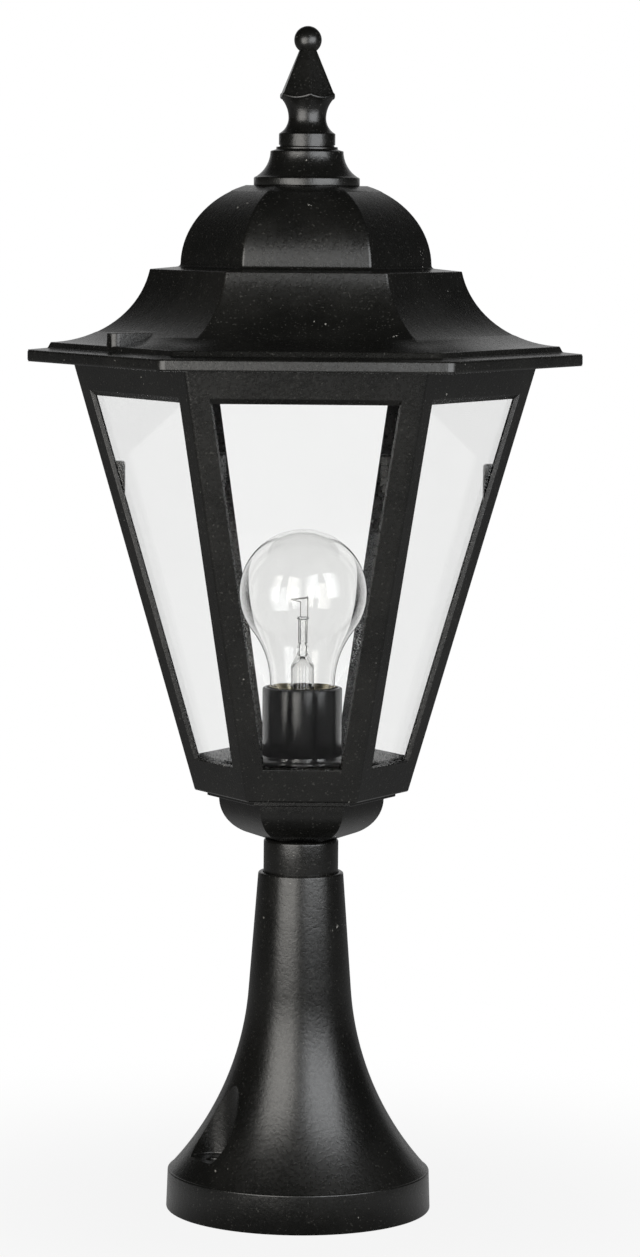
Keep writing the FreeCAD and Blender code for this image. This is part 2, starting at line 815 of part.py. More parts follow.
def terminal_screws():
    """Clamp screws of the terminal block, one at each end of every way."""
    screws = []
    for y in way_centres():
        for z in way_screw_heights():
            face = FreeCAD.Vector(bracket_leg_offset - block_depth + seat_gap, y, z)
            screws.append(Part.makeCylinder(terminal_screw_radius, terminal_screw_height, face, FreeCAD.Vector(1, 0, 0)))
    return Part.makeCompound(screws)


def leg_screw(head_x, z):
    """Pan-head screw through the bracket's leg, with its head towards the lamp's axis."""
    inward = FreeCAD.Vector(1, 0, 0)
    end = bracket_leg_offset + bracket_thickness + screw_tail
    head = Part.makeCylinder(screw_head_radius, screw_head_height, FreeCAD.Vector(head_x - screw_head_height, 0, z), inward)
    shank = Part.makeCylinder(block_screw_radius, end - head_x, FreeCAD.Vector(head_x, 0, z), inward)
    return head.fuse(shank)


def wire_along(points):
    """Round wire through points, with a tangent arc at each corner."""
    edges = []
    here = points[0]
    for before, corner, after in zip(points, points[1:], points[2:]):
        back = (before - corner).normalize()
        ahead = (after - corner).normalize()
        half_turn = (math.pi - back.getAngle(ahead)) / 2
        run = wire_bend * math.tan(half_turn)
        start = corner + back * run
        end = corner + ahead * run
        bisector = (back + ahead).normalize()
        middle = corner + bisector * (wire_bend / math.cos(half_turn) - wire_bend)
        edges.append(Part.LineSegment(here, start).toShape())
        edges.append(Part.Arc(start, middle, end).toShape())
        here = end
    edges.append(Part.LineSegment(here, points[-1]).toShape())
    path = Part.Wire(edges)
    direction = points[1] - points[0]
    section = Part.Wire(Part.makeCircle(wire_radius, points[0], direction))
    return path.makePipeShell([section], True, True)


def supply_wire(way, side):
    """Wire from a way of the terminal block up through the rod to the lampholder's insert."""
    x = bracket_leg_offset - block_depth / 2
    y = way_centres()[way]
    rod_low = clamp_heights()[3]
    entry = block_z() + block_height / 2
    top = block_z() + block_height
    bend_low = top + (rod_low - top) / 3
    bend_high = top + (rod_low - top) * 2 / 3
    return wire_along([
        FreeCAD.Vector(x, y, entry),
        FreeCAD.Vector(x, y, bend_low),
        FreeCAD.Vector(0, side * wire_spread, bend_high),
        FreeCAD.Vector(0, side * wire_spread, insert_z),
    ])


def earth_wire():
    """Wire from the middle way of the terminal block to the earth screw's head."""
    x = bracket_leg_offset - block_depth / 2
    y = way_centres()[block_ways // 2]
    return wire_along([
        FreeCAD.Vector(x, y, block_z() + block_height / 2 + block_screw_radius + 2 * thread_gap),
        FreeCAD.Vector(x, y, earth_screw_z() - screw_head_radius - seat_gap),
    ])


def holder_base():
    """Cap of the lampholder, screwed on the rod, with a rounded bead and a spigot for the skirt."""
    spigot = holder_skirt_radius - holder_skirt_wall - seat_gap
    bore = spigot - holder_skirt_wall
    low = (holder_base_radius - holder_edge_round, holder_z)
    low_edge = (holder_base_radius, holder_z + holder_edge_round)
    bead = (holder_base_radius, holder_ledge - holder_bead_round)
    bead_top = (holder_base_radius - holder_bead_round, holder_ledge)
    bolt = rod_radius + thread_gap
    return turned((bolt, holder_z), [
        low,
        round_to(low, low_edge, (holder_base_radius, holder_z)),
        bead,
        round_to(bead, bead_top, (holder_base_radius, holder_ledge)),
        (spigot, holder_ledge),
        (spigot, holder_ledge + holder_spigot_height),
        (bore, holder_ledge + holder_spigot_height),
        (bore, insert_z),
        (bolt, insert_z),
    ])


def holder_skirt():
    """Outer sleeve of the lampholder, with a rolled-in rim round the bulb's neck."""
    inner = holder_skirt_radius - holder_skirt_wall
    top = holder_ledge + holder_skirt_height
    edge = (holder_skirt_radius, top - holder_edge_round)
    crown = (holder_skirt_radius - holder_edge_round, top)
    return turned((inner, holder_ledge), [
        (holder_skirt_radius, holder_ledge),
        edge,
        round_to(edge, crown, (holder_skirt_radius, top)),
        (inner, top),
    ])


def holder_insert():
    """Ceramic insert that carries the thread shell and the centre contact."""
    outer = holder_skirt_radius - 2 * holder_skirt_wall - 2 * seat_gap
    recess = shell_radius + shell_wall + seat_gap
    return turned((0, insert_z), [
        (outer, insert_z),
        (outer, insert_z + insert_height),
        (recess, insert_z + insert_height),
        (recess, shell_z),
        (0, shell_z),
    ])


def holder_thread_shell():
    """Brass shell that the bulb screws into."""
    return ring(shell_radius + shell_wall, shell_radius, shell_z, shell_height)


def centre_contact():
    """Brass contact under the bulb's tip."""
    return post(contact_radius, contact_thickness, FreeCAD.Vector(0, 0, shell_z))


def bulb_glass():
    """Blown glass of the bulb, a thin pear that opens into the cap."""
    neck_z = glass_z + bulb_neck_rise
    rise = bulb_centre - neck_z
    sweep = (bulb_neck_radius ** 2 + rise ** 2 - bulb_radius ** 2) / (2 * (bulb_radius - bulb_neck_radius))
    sweep_centre = (bulb_neck_radius + sweep, neck_z)
    share = 1 / (bulb_radius + sweep)
    lean = (sweep_centre[0] * share, -rise * share)
    solids = []
    for inset in (0.0, bulb_glass_wall):
        radius = bulb_radius - inset
        meet = (lean[0] * radius, bulb_centre + lean[1] * radius)
        neck = (bulb_neck_radius - inset, neck_z)
        mouth = (cap_radius - inset, glass_z)
        crown = (0, bulb_centre + radius)
        solids.append(turned((0, glass_z), [
            mouth,
            neck,
            arc_to(neck, meet, sweep_centre),
            ((radius * math.cos(bulb_shoulder()), bulb_centre + radius * math.sin(bulb_shoulder())), crown),
        ]))
    return solids[0].cut(solids[1])


def bulb_shoulder():
    """Angle of a point between the bulb's sweep and its crown."""
    return math.radians(30)


def bulb_cap():
    """Screw cap of the bulb, a thin metal cup."""
    inner = cap_radius - cap_wall
    return turned((insulator_radius, cap_z), [
        (cap_radius, cap_z + (cap_radius - insulator_radius) / 2),
        (cap_radius, glass_z),
        (inner, glass_z),
        (inner, cap_z + (cap_radius - insulator_radius) / 2 + cap_wall),
        (insulator_radius, cap_z + cap_wall),
    ])


def bulb_insulator():
    """Dark glass button between the cap and the tip."""
    return turned((0, insulator_z), [
        (tip_radius, insulator_z),
        (insulator_radius, cap_z),
        (insulator_radius, cap_z + cap_wall),
        (0, cap_z + cap_wall),
    ])


def bulb_contact():
    """Soldered tip of the bulb."""
    return turned((0, tip_z), [(tip_radius / 2, tip_z), (tip_radius, insulator_z), (0, insulator_z)])


def stem_heights():
    """Heights along the glass stem: foot, flare, pinch and rod."""
    foot = glass_z
    flare = foot + stem_flare_height
    pinch = flare + stem_pinch_height
    return foot, flare, pinch, pinch + stem_rod_height


def bulb_stem():
    """Glass stem inside the bulb: foot disc, flare, pinch, rod and button."""
    foot, flare, pinch, top = stem_heights()
    return turned((0, foot), [
        (cap_radius - bulb_glass_wall, foot),
        (cap_radius - bulb_glass_wall, foot + bulb_glass_wall),
        (stem_foot_radius, foot + 2 * bulb_glass_wall),
        (stem_foot_radius, flare),
        (stem_pinch_radius, pinch),
        (stem_rod_radius, pinch + stem_rod_radius),
        (stem_rod_radius, top),
        (stem_button_radius, top + stem_button_height / 2),
        (0, top + stem_button_height),
    ])


def lead_ends(side):
    """Lower and upper end of a lead wire."""
    pinch = stem_heights()[2]
    low = FreeCAD.Vector(side * (stem_pinch_radius + lead_radius + seat_gap), 0, pinch)
    high = FreeCAD.Vector(side * lead_spread, 0, pinch + lead_height)
    return low, high


def bulb_lead_wires():
    """Two wires from the stem's pinch to the filament."""
    leads = []
    for side in (-1, 1):
        low, high = lead_ends(side)
        lead = Part.makeCylinder(lead_radius, (high - low).Length, low, high - low)
        leads.append(turned_about_axis(lead, lead_azimuth))
    return Part.makeCompound(leads)


def bulb_filament():
    """Filament in a shallow arc between the lead wires."""
    _, left = lead_ends(-1)
    _, right = lead_ends(1)
    inner = FreeCAD.Vector(lead_radius + seat_gap, 0, 0)
    middle = FreeCAD.Vector(0, 0, left.z + filament_sag)
    arc = Part.Arc(left + inner, middle, right - inner).toShape()
    start = arc.valueAt(arc.FirstParameter)
    section = Part.Wire(Part.makeCircle(filament_radius, start, arc.tangentAt(arc.FirstParameter)))
    coil = Part.Wire([arc]).makePipeShell([section], True, True)
    return turned_about_axis(coil, lead_azimuth)


def all_pieces():
    """Every piece of the lamp by name."""
    washer_z, _, nut_z, _ = clamp_heights()
    block_face = bracket_leg_offset - block_depth
    pieces = {
        "pedestal": pedestal(),
        "neck_collar": neck_collar(),
        "lower_bowl": lower_bowl(),
        "lantern_cage": lantern_cage(),
        "roof": roof(),
        "roof_screws": roof_screws(),
        "finial": finial(),
        "finial_washer": finial_washer(),
        "finial_bolt": finial_bolt(),
        "threaded_rod": threaded_rod(),
        "rod_top_nut": rod_nut(floor_z),
        "rod_bottom_washer": ring(rod_washer_radius, rod_radius + rod_clearance, washer_z, rod_washer_thickness),
        "rod_bottom_nut": rod_nut(nut_z),
        "terminal_bracket": terminal_bracket(),
        "terminal_block": terminal_block(),
        "terminal_screws": terminal_screws(),
        "block_screw": leg_screw(block_face, block_screw_z()),
        "earth_screw": leg_screw(bracket_leg_offset, earth_screw_z()),
        "live_wire": supply_wire(0, -1),
        "neutral_wire": supply_wire(block_ways - 1, 1),
        "earth_wire": earth_wire(),
        "holder_base": holder_base(),
        "holder_skirt": holder_skirt(),
        "holder_insert": holder_insert(),
        "holder_thread_shell": holder_thread_shell(),
        "centre_contact": centre_contact(),
        "bulb_glass": bulb_glass(),
        "bulb_cap": bulb_cap(),
        "bulb_insulator": bulb_insulator(),
        "bulb_contact": bulb_contact(),
        "bulb_stem": bulb_stem(),
        "bulb_lead_wires": bulb_lead_wires(),
        "bulb_filament": bulb_filament(),
    }
    front_pane = pane()
    sides = ("front", "front_right", "rear_right", "rear", "rear_left", "front_left")
    for facet, side in enumerate(sides):
        pieces["pane_" + side] = turned_about_axis(front_pane, 60 * facet)
    return pieces


os.makedirs("parts", exist_ok=True)
for name, shape in all_pieces().items():
    shape.exportStep("parts/" + name + ".step")
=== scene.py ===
import math

import bmesh
import bpy
from bpy.props import FloatProperty, FloatVectorProperty, IntProperty, PointerProperty
from mathutils import Matrix, Vector


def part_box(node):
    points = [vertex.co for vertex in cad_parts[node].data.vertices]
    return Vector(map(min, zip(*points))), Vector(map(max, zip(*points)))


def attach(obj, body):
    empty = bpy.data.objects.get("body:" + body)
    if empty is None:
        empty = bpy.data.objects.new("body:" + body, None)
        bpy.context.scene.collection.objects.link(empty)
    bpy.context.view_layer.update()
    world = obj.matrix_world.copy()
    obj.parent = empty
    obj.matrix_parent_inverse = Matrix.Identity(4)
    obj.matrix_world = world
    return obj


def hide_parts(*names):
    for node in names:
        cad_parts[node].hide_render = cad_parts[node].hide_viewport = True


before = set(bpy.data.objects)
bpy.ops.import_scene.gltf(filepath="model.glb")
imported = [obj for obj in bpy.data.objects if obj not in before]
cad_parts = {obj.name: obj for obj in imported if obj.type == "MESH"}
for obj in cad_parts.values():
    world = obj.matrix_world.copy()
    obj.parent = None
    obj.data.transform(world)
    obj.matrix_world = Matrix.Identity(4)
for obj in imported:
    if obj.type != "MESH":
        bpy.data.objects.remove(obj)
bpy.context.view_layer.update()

bl_info = {
    "name": "Garden Pedestal Lamp",
    "version": (1, 0, 0),
    "blender": (4, 5, 0),
    "location": "View3D > Sidebar > Lamp",
    "description": "Models the castings, panes, lampholder, bulb and studio of a six-sided garden pedestal lamp",
    "category": "Object",
}

HEX_COS = math.cos(math.radians(30))
HEX_TAN = math.tan(math.radians(30))
UP = Vector((0, 0, 1))
MM = 0.001
# How far a cutting tool reaches past the piece
SPARE = 2 * MM
# How near points are welded
WELD = 2e-6


def size(label, millimetres, text):
    """Length property, given in millimetres and kept in metres."""
    return FloatProperty(name=label, description=text, default=millimetres * MM, precision=4, unit="LENGTH")


def turn(label, degrees, text):
    """Angle property, given in degrees."""
    return FloatProperty(name=label, description=text, default=math.radians(degrees), subtype="ANGLE")


def amount(label, value, text):
    """Plain number or share."""
    return FloatProperty(name=label, description=text, default=value, precision=4)


def colour(label, value, text):
    """Colour property."""
    return FloatVectorProperty(name=label, description=text, default=value, size=3, min=0, max=1, subtype="COLOR")


def top_of(node):
    """Height of a node's highest point, in millimetres."""
    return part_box(node)[1].z / MM


def foot_of(node):
    """Height of a node's lowest point, in millimetres."""
    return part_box(node)[0].z / MM


def reach_of(node):
    """How far a node reaches along +X, in millimetres."""
    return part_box(node)[1].x / MM


class PedestalSizes(bpy.types.PropertyGroup):
    """Sizes of the cast pedestal."""

    foot_radius: size("Foot radius", reach_of("pedestal"), "Outer radius of the foot ring")
    height: size("Height", top_of("pedestal"), "Height of the casting")
    ring_height: size("Ring height", 18.8, "Height of the upright ring at the foot")
    ring_draft: size("Ring draft", 0.6, "How far the foot ring leans in")
    ring_round: size("Ring round", 0.8, "Round of the ring's upper edge")
    foot_round: size("Foot round", 0.8, "Round of the foot's lower edge")
    neck_radius: size("Neck radius", 20.2, "Radius of the neck at its top")
    taper_height: size("Taper height", 56.5, "Height of the straight part of the neck")
    taper_angle: turn("Taper", 4.2, "Lean of the straight part of the neck")
    rim_round: size("Rim round", 0.9, "Round of the neck's top edge")
    wall: size("Wall", 4.0, "Thickness of the casting")
    bridge: size("Bridge", 6.0, "Thickness of the bridge under the collar")
    recess_depth: size("Recess depth", 3.0, "Depth of the recess for the collar")
    recess_radius: size("Recess radius", 17.95, "Radius of the recess for the collar")
    rod_hole: size("Rod hole", 5.3, "Radius of the hole for the rod")
    pocket_circle: size("Pocket circle", 46.6, "Distance of the screw pockets from the axis")
    pocket_radius: size("Pocket radius", 12.0, "Radius of a screw pocket")
    pocket_floor: size("Pocket floor", 27.5, "Height of the floor of a screw pocket")
    pocket_wall: size("Pocket wall", 3.5, "Wall round a screw pocket")
    column_radius: size("Column radius", 8.0, "Radius of the column under a pocket")
    hole_radius: size("Hole radius", 3.25, "Radius of a fixing hole")
    pocket_edge: size("Pocket edge", 0.7, "Round of the pocket's mouth")
    pocket_round: size("Pocket round", 0.8, "Round of a pocket's floor")
    fine_round: size("Fine round", 0.35, "Round of the other edges")


class BowlSizes(bpy.types.PropertyGroup):
    """Sizes of the neck collar and the lower bowl."""

    collar_radius: size("Collar radius", reach_of("neck_collar"), "Radius of the neck collar")
    collar_wall: size("Collar wall", 5.0, "Wall of the neck collar")
    collar_round: size("Collar round", 1.6, "Round of the collar's top edge")
    foot_apothem: size("Foot apothem", 15.2, "Half the width across the bowl's foot")
    slope: turn("Slope", 20.0, "Slope of the bowl's underside")
    belly_round: size("Belly round", 17.5, "Round between the underside and the side")
    apothem: size("Apothem", 33.8, "Half the width across the bowl's sides")
    straight: size("Straight", 1.0, "Straight part under the flange")
    flange_apothem: size("Flange apothem", 38.6, "Half the width across the flange")
    flange_thickness: size("Flange thickness", 2.5, "Thickness of the flange")
    wall: size("Wall", 3.0, "Wall of the bowl")
    rod_hole: size("Rod hole", 5.3, "Radius of the hole for the rod")
    ridge: size("Ridge", 0.8, "Round of the bowl's ridges")
    collar_fine: size("Collar edge", 0.3, "Round of the collar's other edges")
    bowl_fine: size("Bowl edge", 0.45, "Round of the bowl's other edges")


class CageSizes(bpy.types.PropertyGroup):
    """Sizes of the lantern cage and its panes."""

    foot_apothem: size("Foot apothem", 44.0, "Half the width across the cage's foot")
    top_apothem: size("Top apothem", 94.5, "Half the width across the cage's top")
    height: size("Height", 202.0, "Height of the slanted sides")
    wall: size("Wall", 1.9, "Thickness of the cage's sides")
    floor: size("Floor", 3.0, "Thickness of the cage's floor")
    flange_apothem: size("Flange apothem", 106.5, "Half the width across the hidden flange")
    foot_round: size("Foot round", 0.6, "Chamfer of the foot's edge")
    corner_round: size("Corner round", 5.0, "Round of the posts' outer corners")
    post_width: size("Post width", 9.4, "Width of a post on each facet")
    sill: size("Sill", 15.6, "Height of the rail under a window")
    head: size("Head", 12.8, "Height of the rail over a window")
    head_draft: size("Head draft", 2.6, "How much a window's upper edge drops through the wall")
    draft: size("Draft", 1.0, "How much a window narrows through the wall")
    edge_round: size("Edge round", 0.55, "Round of the posts and window edges")
    lug_face: size("Lug face", 83.2, "Distance of a lug's inner face from the axis")
    lug_drop: size("Lug drop", 46.2, "Depth of a lug's top below the cage's top")
    lug_depth: size("Lug depth", 40.0, "Height of a lug")
    lug_neck: size("Lug neck", 3.2, "Width of a lug between two panes")
    lug_wing: size("Lug wing", 10.0, "Width of a lug behind the panes")
    lug_round: size("Lug round", 1.5, "Round of a lug's upper edge")
    lug_edge: size("Lug edge", 0.5, "Round of a lug's other edges")
    glass: size("Glass", 2.0, "Thickness of a pane")
    glass_gap: size("Glass gap", 0.2, "Clearance round a pane")
    pane_drop: size("Pane drop", 6.0, "Depth of a pane's top below the cage's top")
    pane_edge: size("Pane edge", 0.3, "Ground edge of a pane")


class RoofSizes(bpy.types.PropertyGroup):
    """Sizes of the cast roof."""

    eave_apothem: size("Eave apothem", 113.6, "Half the width across the eave")
    eave_thickness: size("Eave thickness", 5.6, "Height of the eave's edge")
    eave_round: size("Eave round", 1.1, "Round of the eave's edges")
    eave_corner: size("Eave corner", 5.0, "Round of the eave's corners")
    eave_rise: size("Eave rise", 0.8, "Fall of the eave's top")
    step_apothem: size("Step apothem", 105.0, "Half the width across the step")
    step_height: size("Step height", 2.7, "Height of the step")
    step_draft: size("Step draft", 1.3, "Lean of the step")
    skirt_radius: size("Skirt radius", 42.1, "Radius of the hollow skirt")
    skirt_top: size("Skirt top", 63.6, "Half the width across the skirt's top")
    skirt_height: size("Skirt height", 34.6, "Height of the skirt")
    ledge_rise: size("Ledge rise", 1.2, "Rise of the ledge under the dome")
    dome_foot: size("Dome foot", 51.2, "Half the width across the dome's foot")
    dome_foot_round: size("Dome foot round", 1.6, "Hollow round at the dome's foot")
    dome_radius: size("Dome radius", 39.6, "Radius of the dome's sides")
    dome_height: size("Dome height", 36.7, "Height of the dome")
    dome_top: size("Dome top", 24.6, "Half the width across the dome's top")
    wall: size("Wall", 3.0, "Thickness of the casting")
    rebate_gap: size("Rebate gap", 0.25, "Clearance round the cage's flange")
    rebate_depth: size("Rebate depth", 2.6, "Depth of the rebate for the cage's flange")
    boss_radius: size("Boss radius", 4.4, "Radius of a screw boss")
    boss_reach: size("Boss reach", 100.4, "Distance of a screw boss from the axis")
    boss_rise: size("Boss rise", 6.0, "Height of a boss above the skirt's foot")
    ridge: size("Ridge", 1.0, "Round of the roof's ridges")
    fine_round: size("Fine round", 0.4, "Round of the roof's other edges")


class FinialSizes(bpy.types.PropertyGroup):
    """Sizes of the finial."""

    base_radius: size("Base radius", 24.8, "Radius of the base")
    base_edge: size("Base edge", 3.1, "Height of the base's edge")
    base_lip: size("Base lip", 0.9, "Round over the base's edge")
    cove_radius: size("Cove radius", 14.2, "Radius of the cove over the base")
    cove_height: size("Cove height", 12.0, "Height of the cove")
    cove_top: size("Cove top", 17.1, "Radius at the top of the cove")
    step_height: size("Step height", 0.8, "Fall of the step over the cove")
    ring_radius: size("Ring radius", 14.4, "Radius of the thin ring over the step")
    ring_height: size("Ring height", 1.2, "Height of the thin ring")
    groove: size("Groove", 2.1, "Height of the ring and the groove under the band")
    groove_radius: size("Groove radius", 12.8, "Radius at the bottom of the groove")
    band_radius: size("Band radius", 13.2, "Radius of the band")
    band_height: size("Band height", 5.2, "Height of the band")
    waist_radius: size("Waist radius", 8.8, "Radius of the waist")
    waist_cove: size("Waist cove", 8.3, "Radius of the hollow under the waist")
    spire_cove: size("Spire cove", 13.4, "Radius of the hollow over the waist")
    spire_corner: size("Spire corner", 14.2, "Distance of the spire's lower corners from the axis")
    spire_tip: size("Spire tip", 4.6, "Distance of the spire's upper corners from the axis")
    spire_turn: turn("Spire turn", 5.0, "Turn of the spire's front corner to the right")
    spire_height: size("Spire height", 21.2, "Height of the spire")
    ball_radius: size("Ball radius", 6.45, "Radius of the ball")
    edge_round: size("Edge round", 0.5, "Round of the spire's corners")
    lip_round: size("Lip round", 1.0, "Radius of the lip along the spire's lower edges")
    lip_sink: amount("Lip sink", 0.85, "Share of the lip's radius that is sunk into the spire")
    fine_round: size("Fine round", 0.3, "Round of the turned edges")


class HolderSizes(bpy.types.PropertyGroup):
    """Sizes of the lampholder."""

    base_radius: size("Base radius", reach_of("holder_base"), "Radius of the base's bead")
    base_ledge: size("Base ledge", foot_of("holder_skirt"), "Height of the ledge that carries the sleeve")
    edge_round: size("Edge round", 1.0, "Round of the base's and the sleeve's edges")
    bead_round: size("Bead round", 1.6, "Round of the bead over the base")
    bead_height: size("Bead height", 3.0, "Height of the bead over the base")
    sleeve_radius: size("Sleeve radius", reach_of("holder_skirt"), "Radius of the sleeve")
    sleeve_wall: size("Sleeve wall", 1.9, "Wall of the sleeve")
    spigot_gap: size("Spigot gap", 0.25, "Clearance of the spigot in the sleeve")
    rod_radius: size("Rod radius", 5.05, "Radius of the thread for the rod")
    shell_radius: size("Shell radius", 13.4, "Inner radius of the brass shell")
    shell_wall: size("Shell wall", 0.5, "Wall of the brass shell")
    shell_roll: size("Shell roll", 0.2, "Depth of the shell's rolled thread")
    shell_sheet: size("Shell sheet", 0.3, "Thickness of the shell's sheet")
    sleeve_fine: size("Sleeve edge", 0.3, "Round of the sleeve's other edges")
    thread_pitch: size("Thread pitch", 3.6, "Pitch of the rolled thread")


class BulbSizes(bpy.types.PropertyGroup):
    """Sizes of the clear bulb."""

    radius: size("Radius", reach_of("bulb_glass"), "Radius of the globe")
    centre_rise: size("Centre rise", 48.0, "Height of the globe's centre above the cap")
    neck_radius: size("Neck radius", 15.3, "Radius of the neck")
    neck_rise: size("Neck rise", 4.5, "Height of the neck above the cap")
    wall: size("Wall", 0.5, "Thickness of the glass")
    cap_radius: size("Cap radius", reach_of("bulb_cap"), "Radius of the screw cap")
    cap_wall: size("Cap wall", 0.4, "Wall of the screw cap")
    insulator_radius: size("Insulator radius", 11.0, "Radius of the glass button under the cap")
    thread_depth: size("Thread depth", 0.55, "Depth of the rolled thread")
    crown_radius: size("Crown radius", 15.5, "Radius of the cap's flared crown")
    crown_rise: size("Crown rise", 3.6, "Height of the crown above the foot of the glass")
    stem_foot: size("Stem foot", 5.5, "Radius of the stem's flare")
    stem_flare: size("Stem flare", 13.4, "Height of the stem's flare")
    stem_wall: size("Stem wall", 0.7, "Wall of the stem's hollow flare")
    stem_pinch: size("Stem pinch", 2.7, "Radius of the stem at the pinch")
    pinch_low: size("Pinch foot", 18.5, "Height of the pinch's foot above the cap")
    pinch_rise: size("Pinch rise", 24.2, "Height of the pinch's top above the cap")
    stem_rod: size("Stem rod", 1.7, "Radius of the stem's rod")
    rod_height: size("Rod height", 11.0, "Height of the stem's rod")
    button_radius: size("Button radius", 2.9, "Radius of the button on the rod")
    button_height: size("Button height", 1.5, "Height of the button on the rod")
    lead_radius: size("Lead radius", 0.24, "Radius of a lead wire")
    lead_height: size("Lead height", 44.6, "Height of the filament above the cap")
    lead_reach: size("Lead reach", 5.6, "Distance of the bent lead's end from the axis")
    lead_near: size("Bent lead", 1.2, "Distance of the bent lead from the axis")
    lead_far: size("Straight lead", 2.2, "Distance of the straight lead from the axis")
    coil_radius: size("Coil radius", 0.4, "Radius of the filament's coil")
    coil_wire: size("Coil wire", 0.09, "Radius of the filament's wire")
    coil_turns: IntProperty(name="Coil turns", description="Turns of the filament's coil", default=22)
    stem_round: size("Stem round", 0.7, "Round of the stem's edges")


class FinishSettings(bpy.types.PropertyGroup):
    """Colours and gloss of the finishes."""

    coat: colour("Coat", (0.003, 0.003, 0.0026), "Black of the powder coat")
    # Also the tone of the painted glints, fine specks that stand in for the coat's sparkle in the light
    coat_dust: colour("Coat dust", (0.0062, 0.0061, 0.0054), "Paler tone of the powder coat")
    coat_chip_and_glint: colour("Coat chip", (0.2, 0.195, 0.18), "Tone of the small chips")
    coat_roughness: amount("Coat roughness", 0.27, "Roughness of the powder coat")
    coat_specular: amount("Coat specular", 0.5, "Strength of the coat's gloss")
    pane_gloss: amount("Pane gloss", 0.35, "Strength of the panes' reflections")
    bulb_gloss: amount("Bulb gloss", 0.7, "Strength of the bulb's reflections")
    pane_tint: colour("Pane tint", (0.958, 0.96, 0.958), "Tint of the panes")
    bulb_tint: colour("Bulb tint", (0.975, 0.975, 0.97), "Tint of the bulb's glass")
    holder: colour("Holder", (0.003, 0.0031, 0.0033), "Black of the lampholder")
    ceramic: colour("Ceramic", (0.74, 0.72, 0.66), "White of the ceramic insert")
    brass: colour("Brass", (0.72, 0.53, 0.22), "Brass of the thread shell")
    zinc: colour("Zinc", (0.6, 0.6, 0.57), "Zinc plate of the fasteners")
    cap: colour("Cap", (0.6, 0.52, 0.32), "Metal of the bulb's cap")
    filament: colour("Filament", (0.16, 0.155, 0.15), "Metal of the filament and the leads")
    nylon: colour("Nylon", (0.68, 0.67, 0.62), "Nylon of the terminal block")
    brown_wire: colour("Brown wire", (0.09, 0.035, 0.015), "Insulation of the live wire")
    blue_wire: colour("Blue wire", (0.015, 0.06, 0.3), "Insulation of the neutral wire")
    green_wire: colour("Green wire", (0.05, 0.2, 0.02), "Ground colour of the earth wire")
    yellow_stripe: colour("Yellow stripe", (0.65, 0.5, 0.03), "Stripe of the earth wire")


class StudioSettings(bpy.types.PropertyGroup):
    """Camera, floor and lights."""

    camera_away: size("Camera away", 2128.0, "Level distance of the camera from the lamp's axis")
    camera_height: size("Camera height", 479.5, "Height of the camera")
    camera_side: size("Camera side", -11.6, "How far the camera stands to the right")
    camera_turn: turn("Camera turn", 0.53, "Turn of the camera to the right")
    camera_pitch: turn("Camera pitch", 5.43, "Downward tilt of the camera")
    camera_roll: turn("Camera roll", 0.52, "Roll of the camera")
    camera_lens: FloatProperty(name="Lens", description="Focal length of the camera in millimetres", default=129.7)
    floor_colour: colour("Floor", (0.07, 0.07, 0.07), "Dim tone of the floor in its shadow and in what it throws back")
    floor_size: size("Floor size", 30000.0, "Width of the floor")
    floor_drop: size("Floor drop", 0.2, "Depth of the floor below the lamp's foot")
    light_away: size("Light away", 750.0, "Distance of the softboxes from the lamp's axis")
    left_power: FloatProperty(name="Left power", description="Power of the left softbox", default=12.1, unit="POWER")
    left_shade: colour("Left shade", (1.0, 0.978, 0.935), "Warm colour of the left softbox")
    left_turn: turn("Left turn", -31.5, "Turn of the left softbox from the front")
    left_height: size("Left height", 445.0, "Height of the left softbox's middle")
    left_width: size("Left width", 960.0, "Width of the left softbox")
    left_length: size("Left length", 740.0, "Upright length of the left softbox")
    right_power: FloatProperty(name="Right power", description="Power of the right softbox", default=13.9, unit="POWER")
    right_shade: colour("Right shade", (0.965, 0.982, 1.0), "Cool colour of the right softbox")
    right_turn: turn("Right turn", 36.8, "Turn of the right softbox from the front")
    right_height: size("Right height", 540.0, "Height of the right softbox's middle")
    right_width: size("Right width", 1160.0, "Width of the right softbox")
    right_length: size("Right length", 705.0, "Upright length of the right softbox")
    ambient: amount("Ambient", 0.03, "Level of the light from all round")


# Drawing and shaping helpers


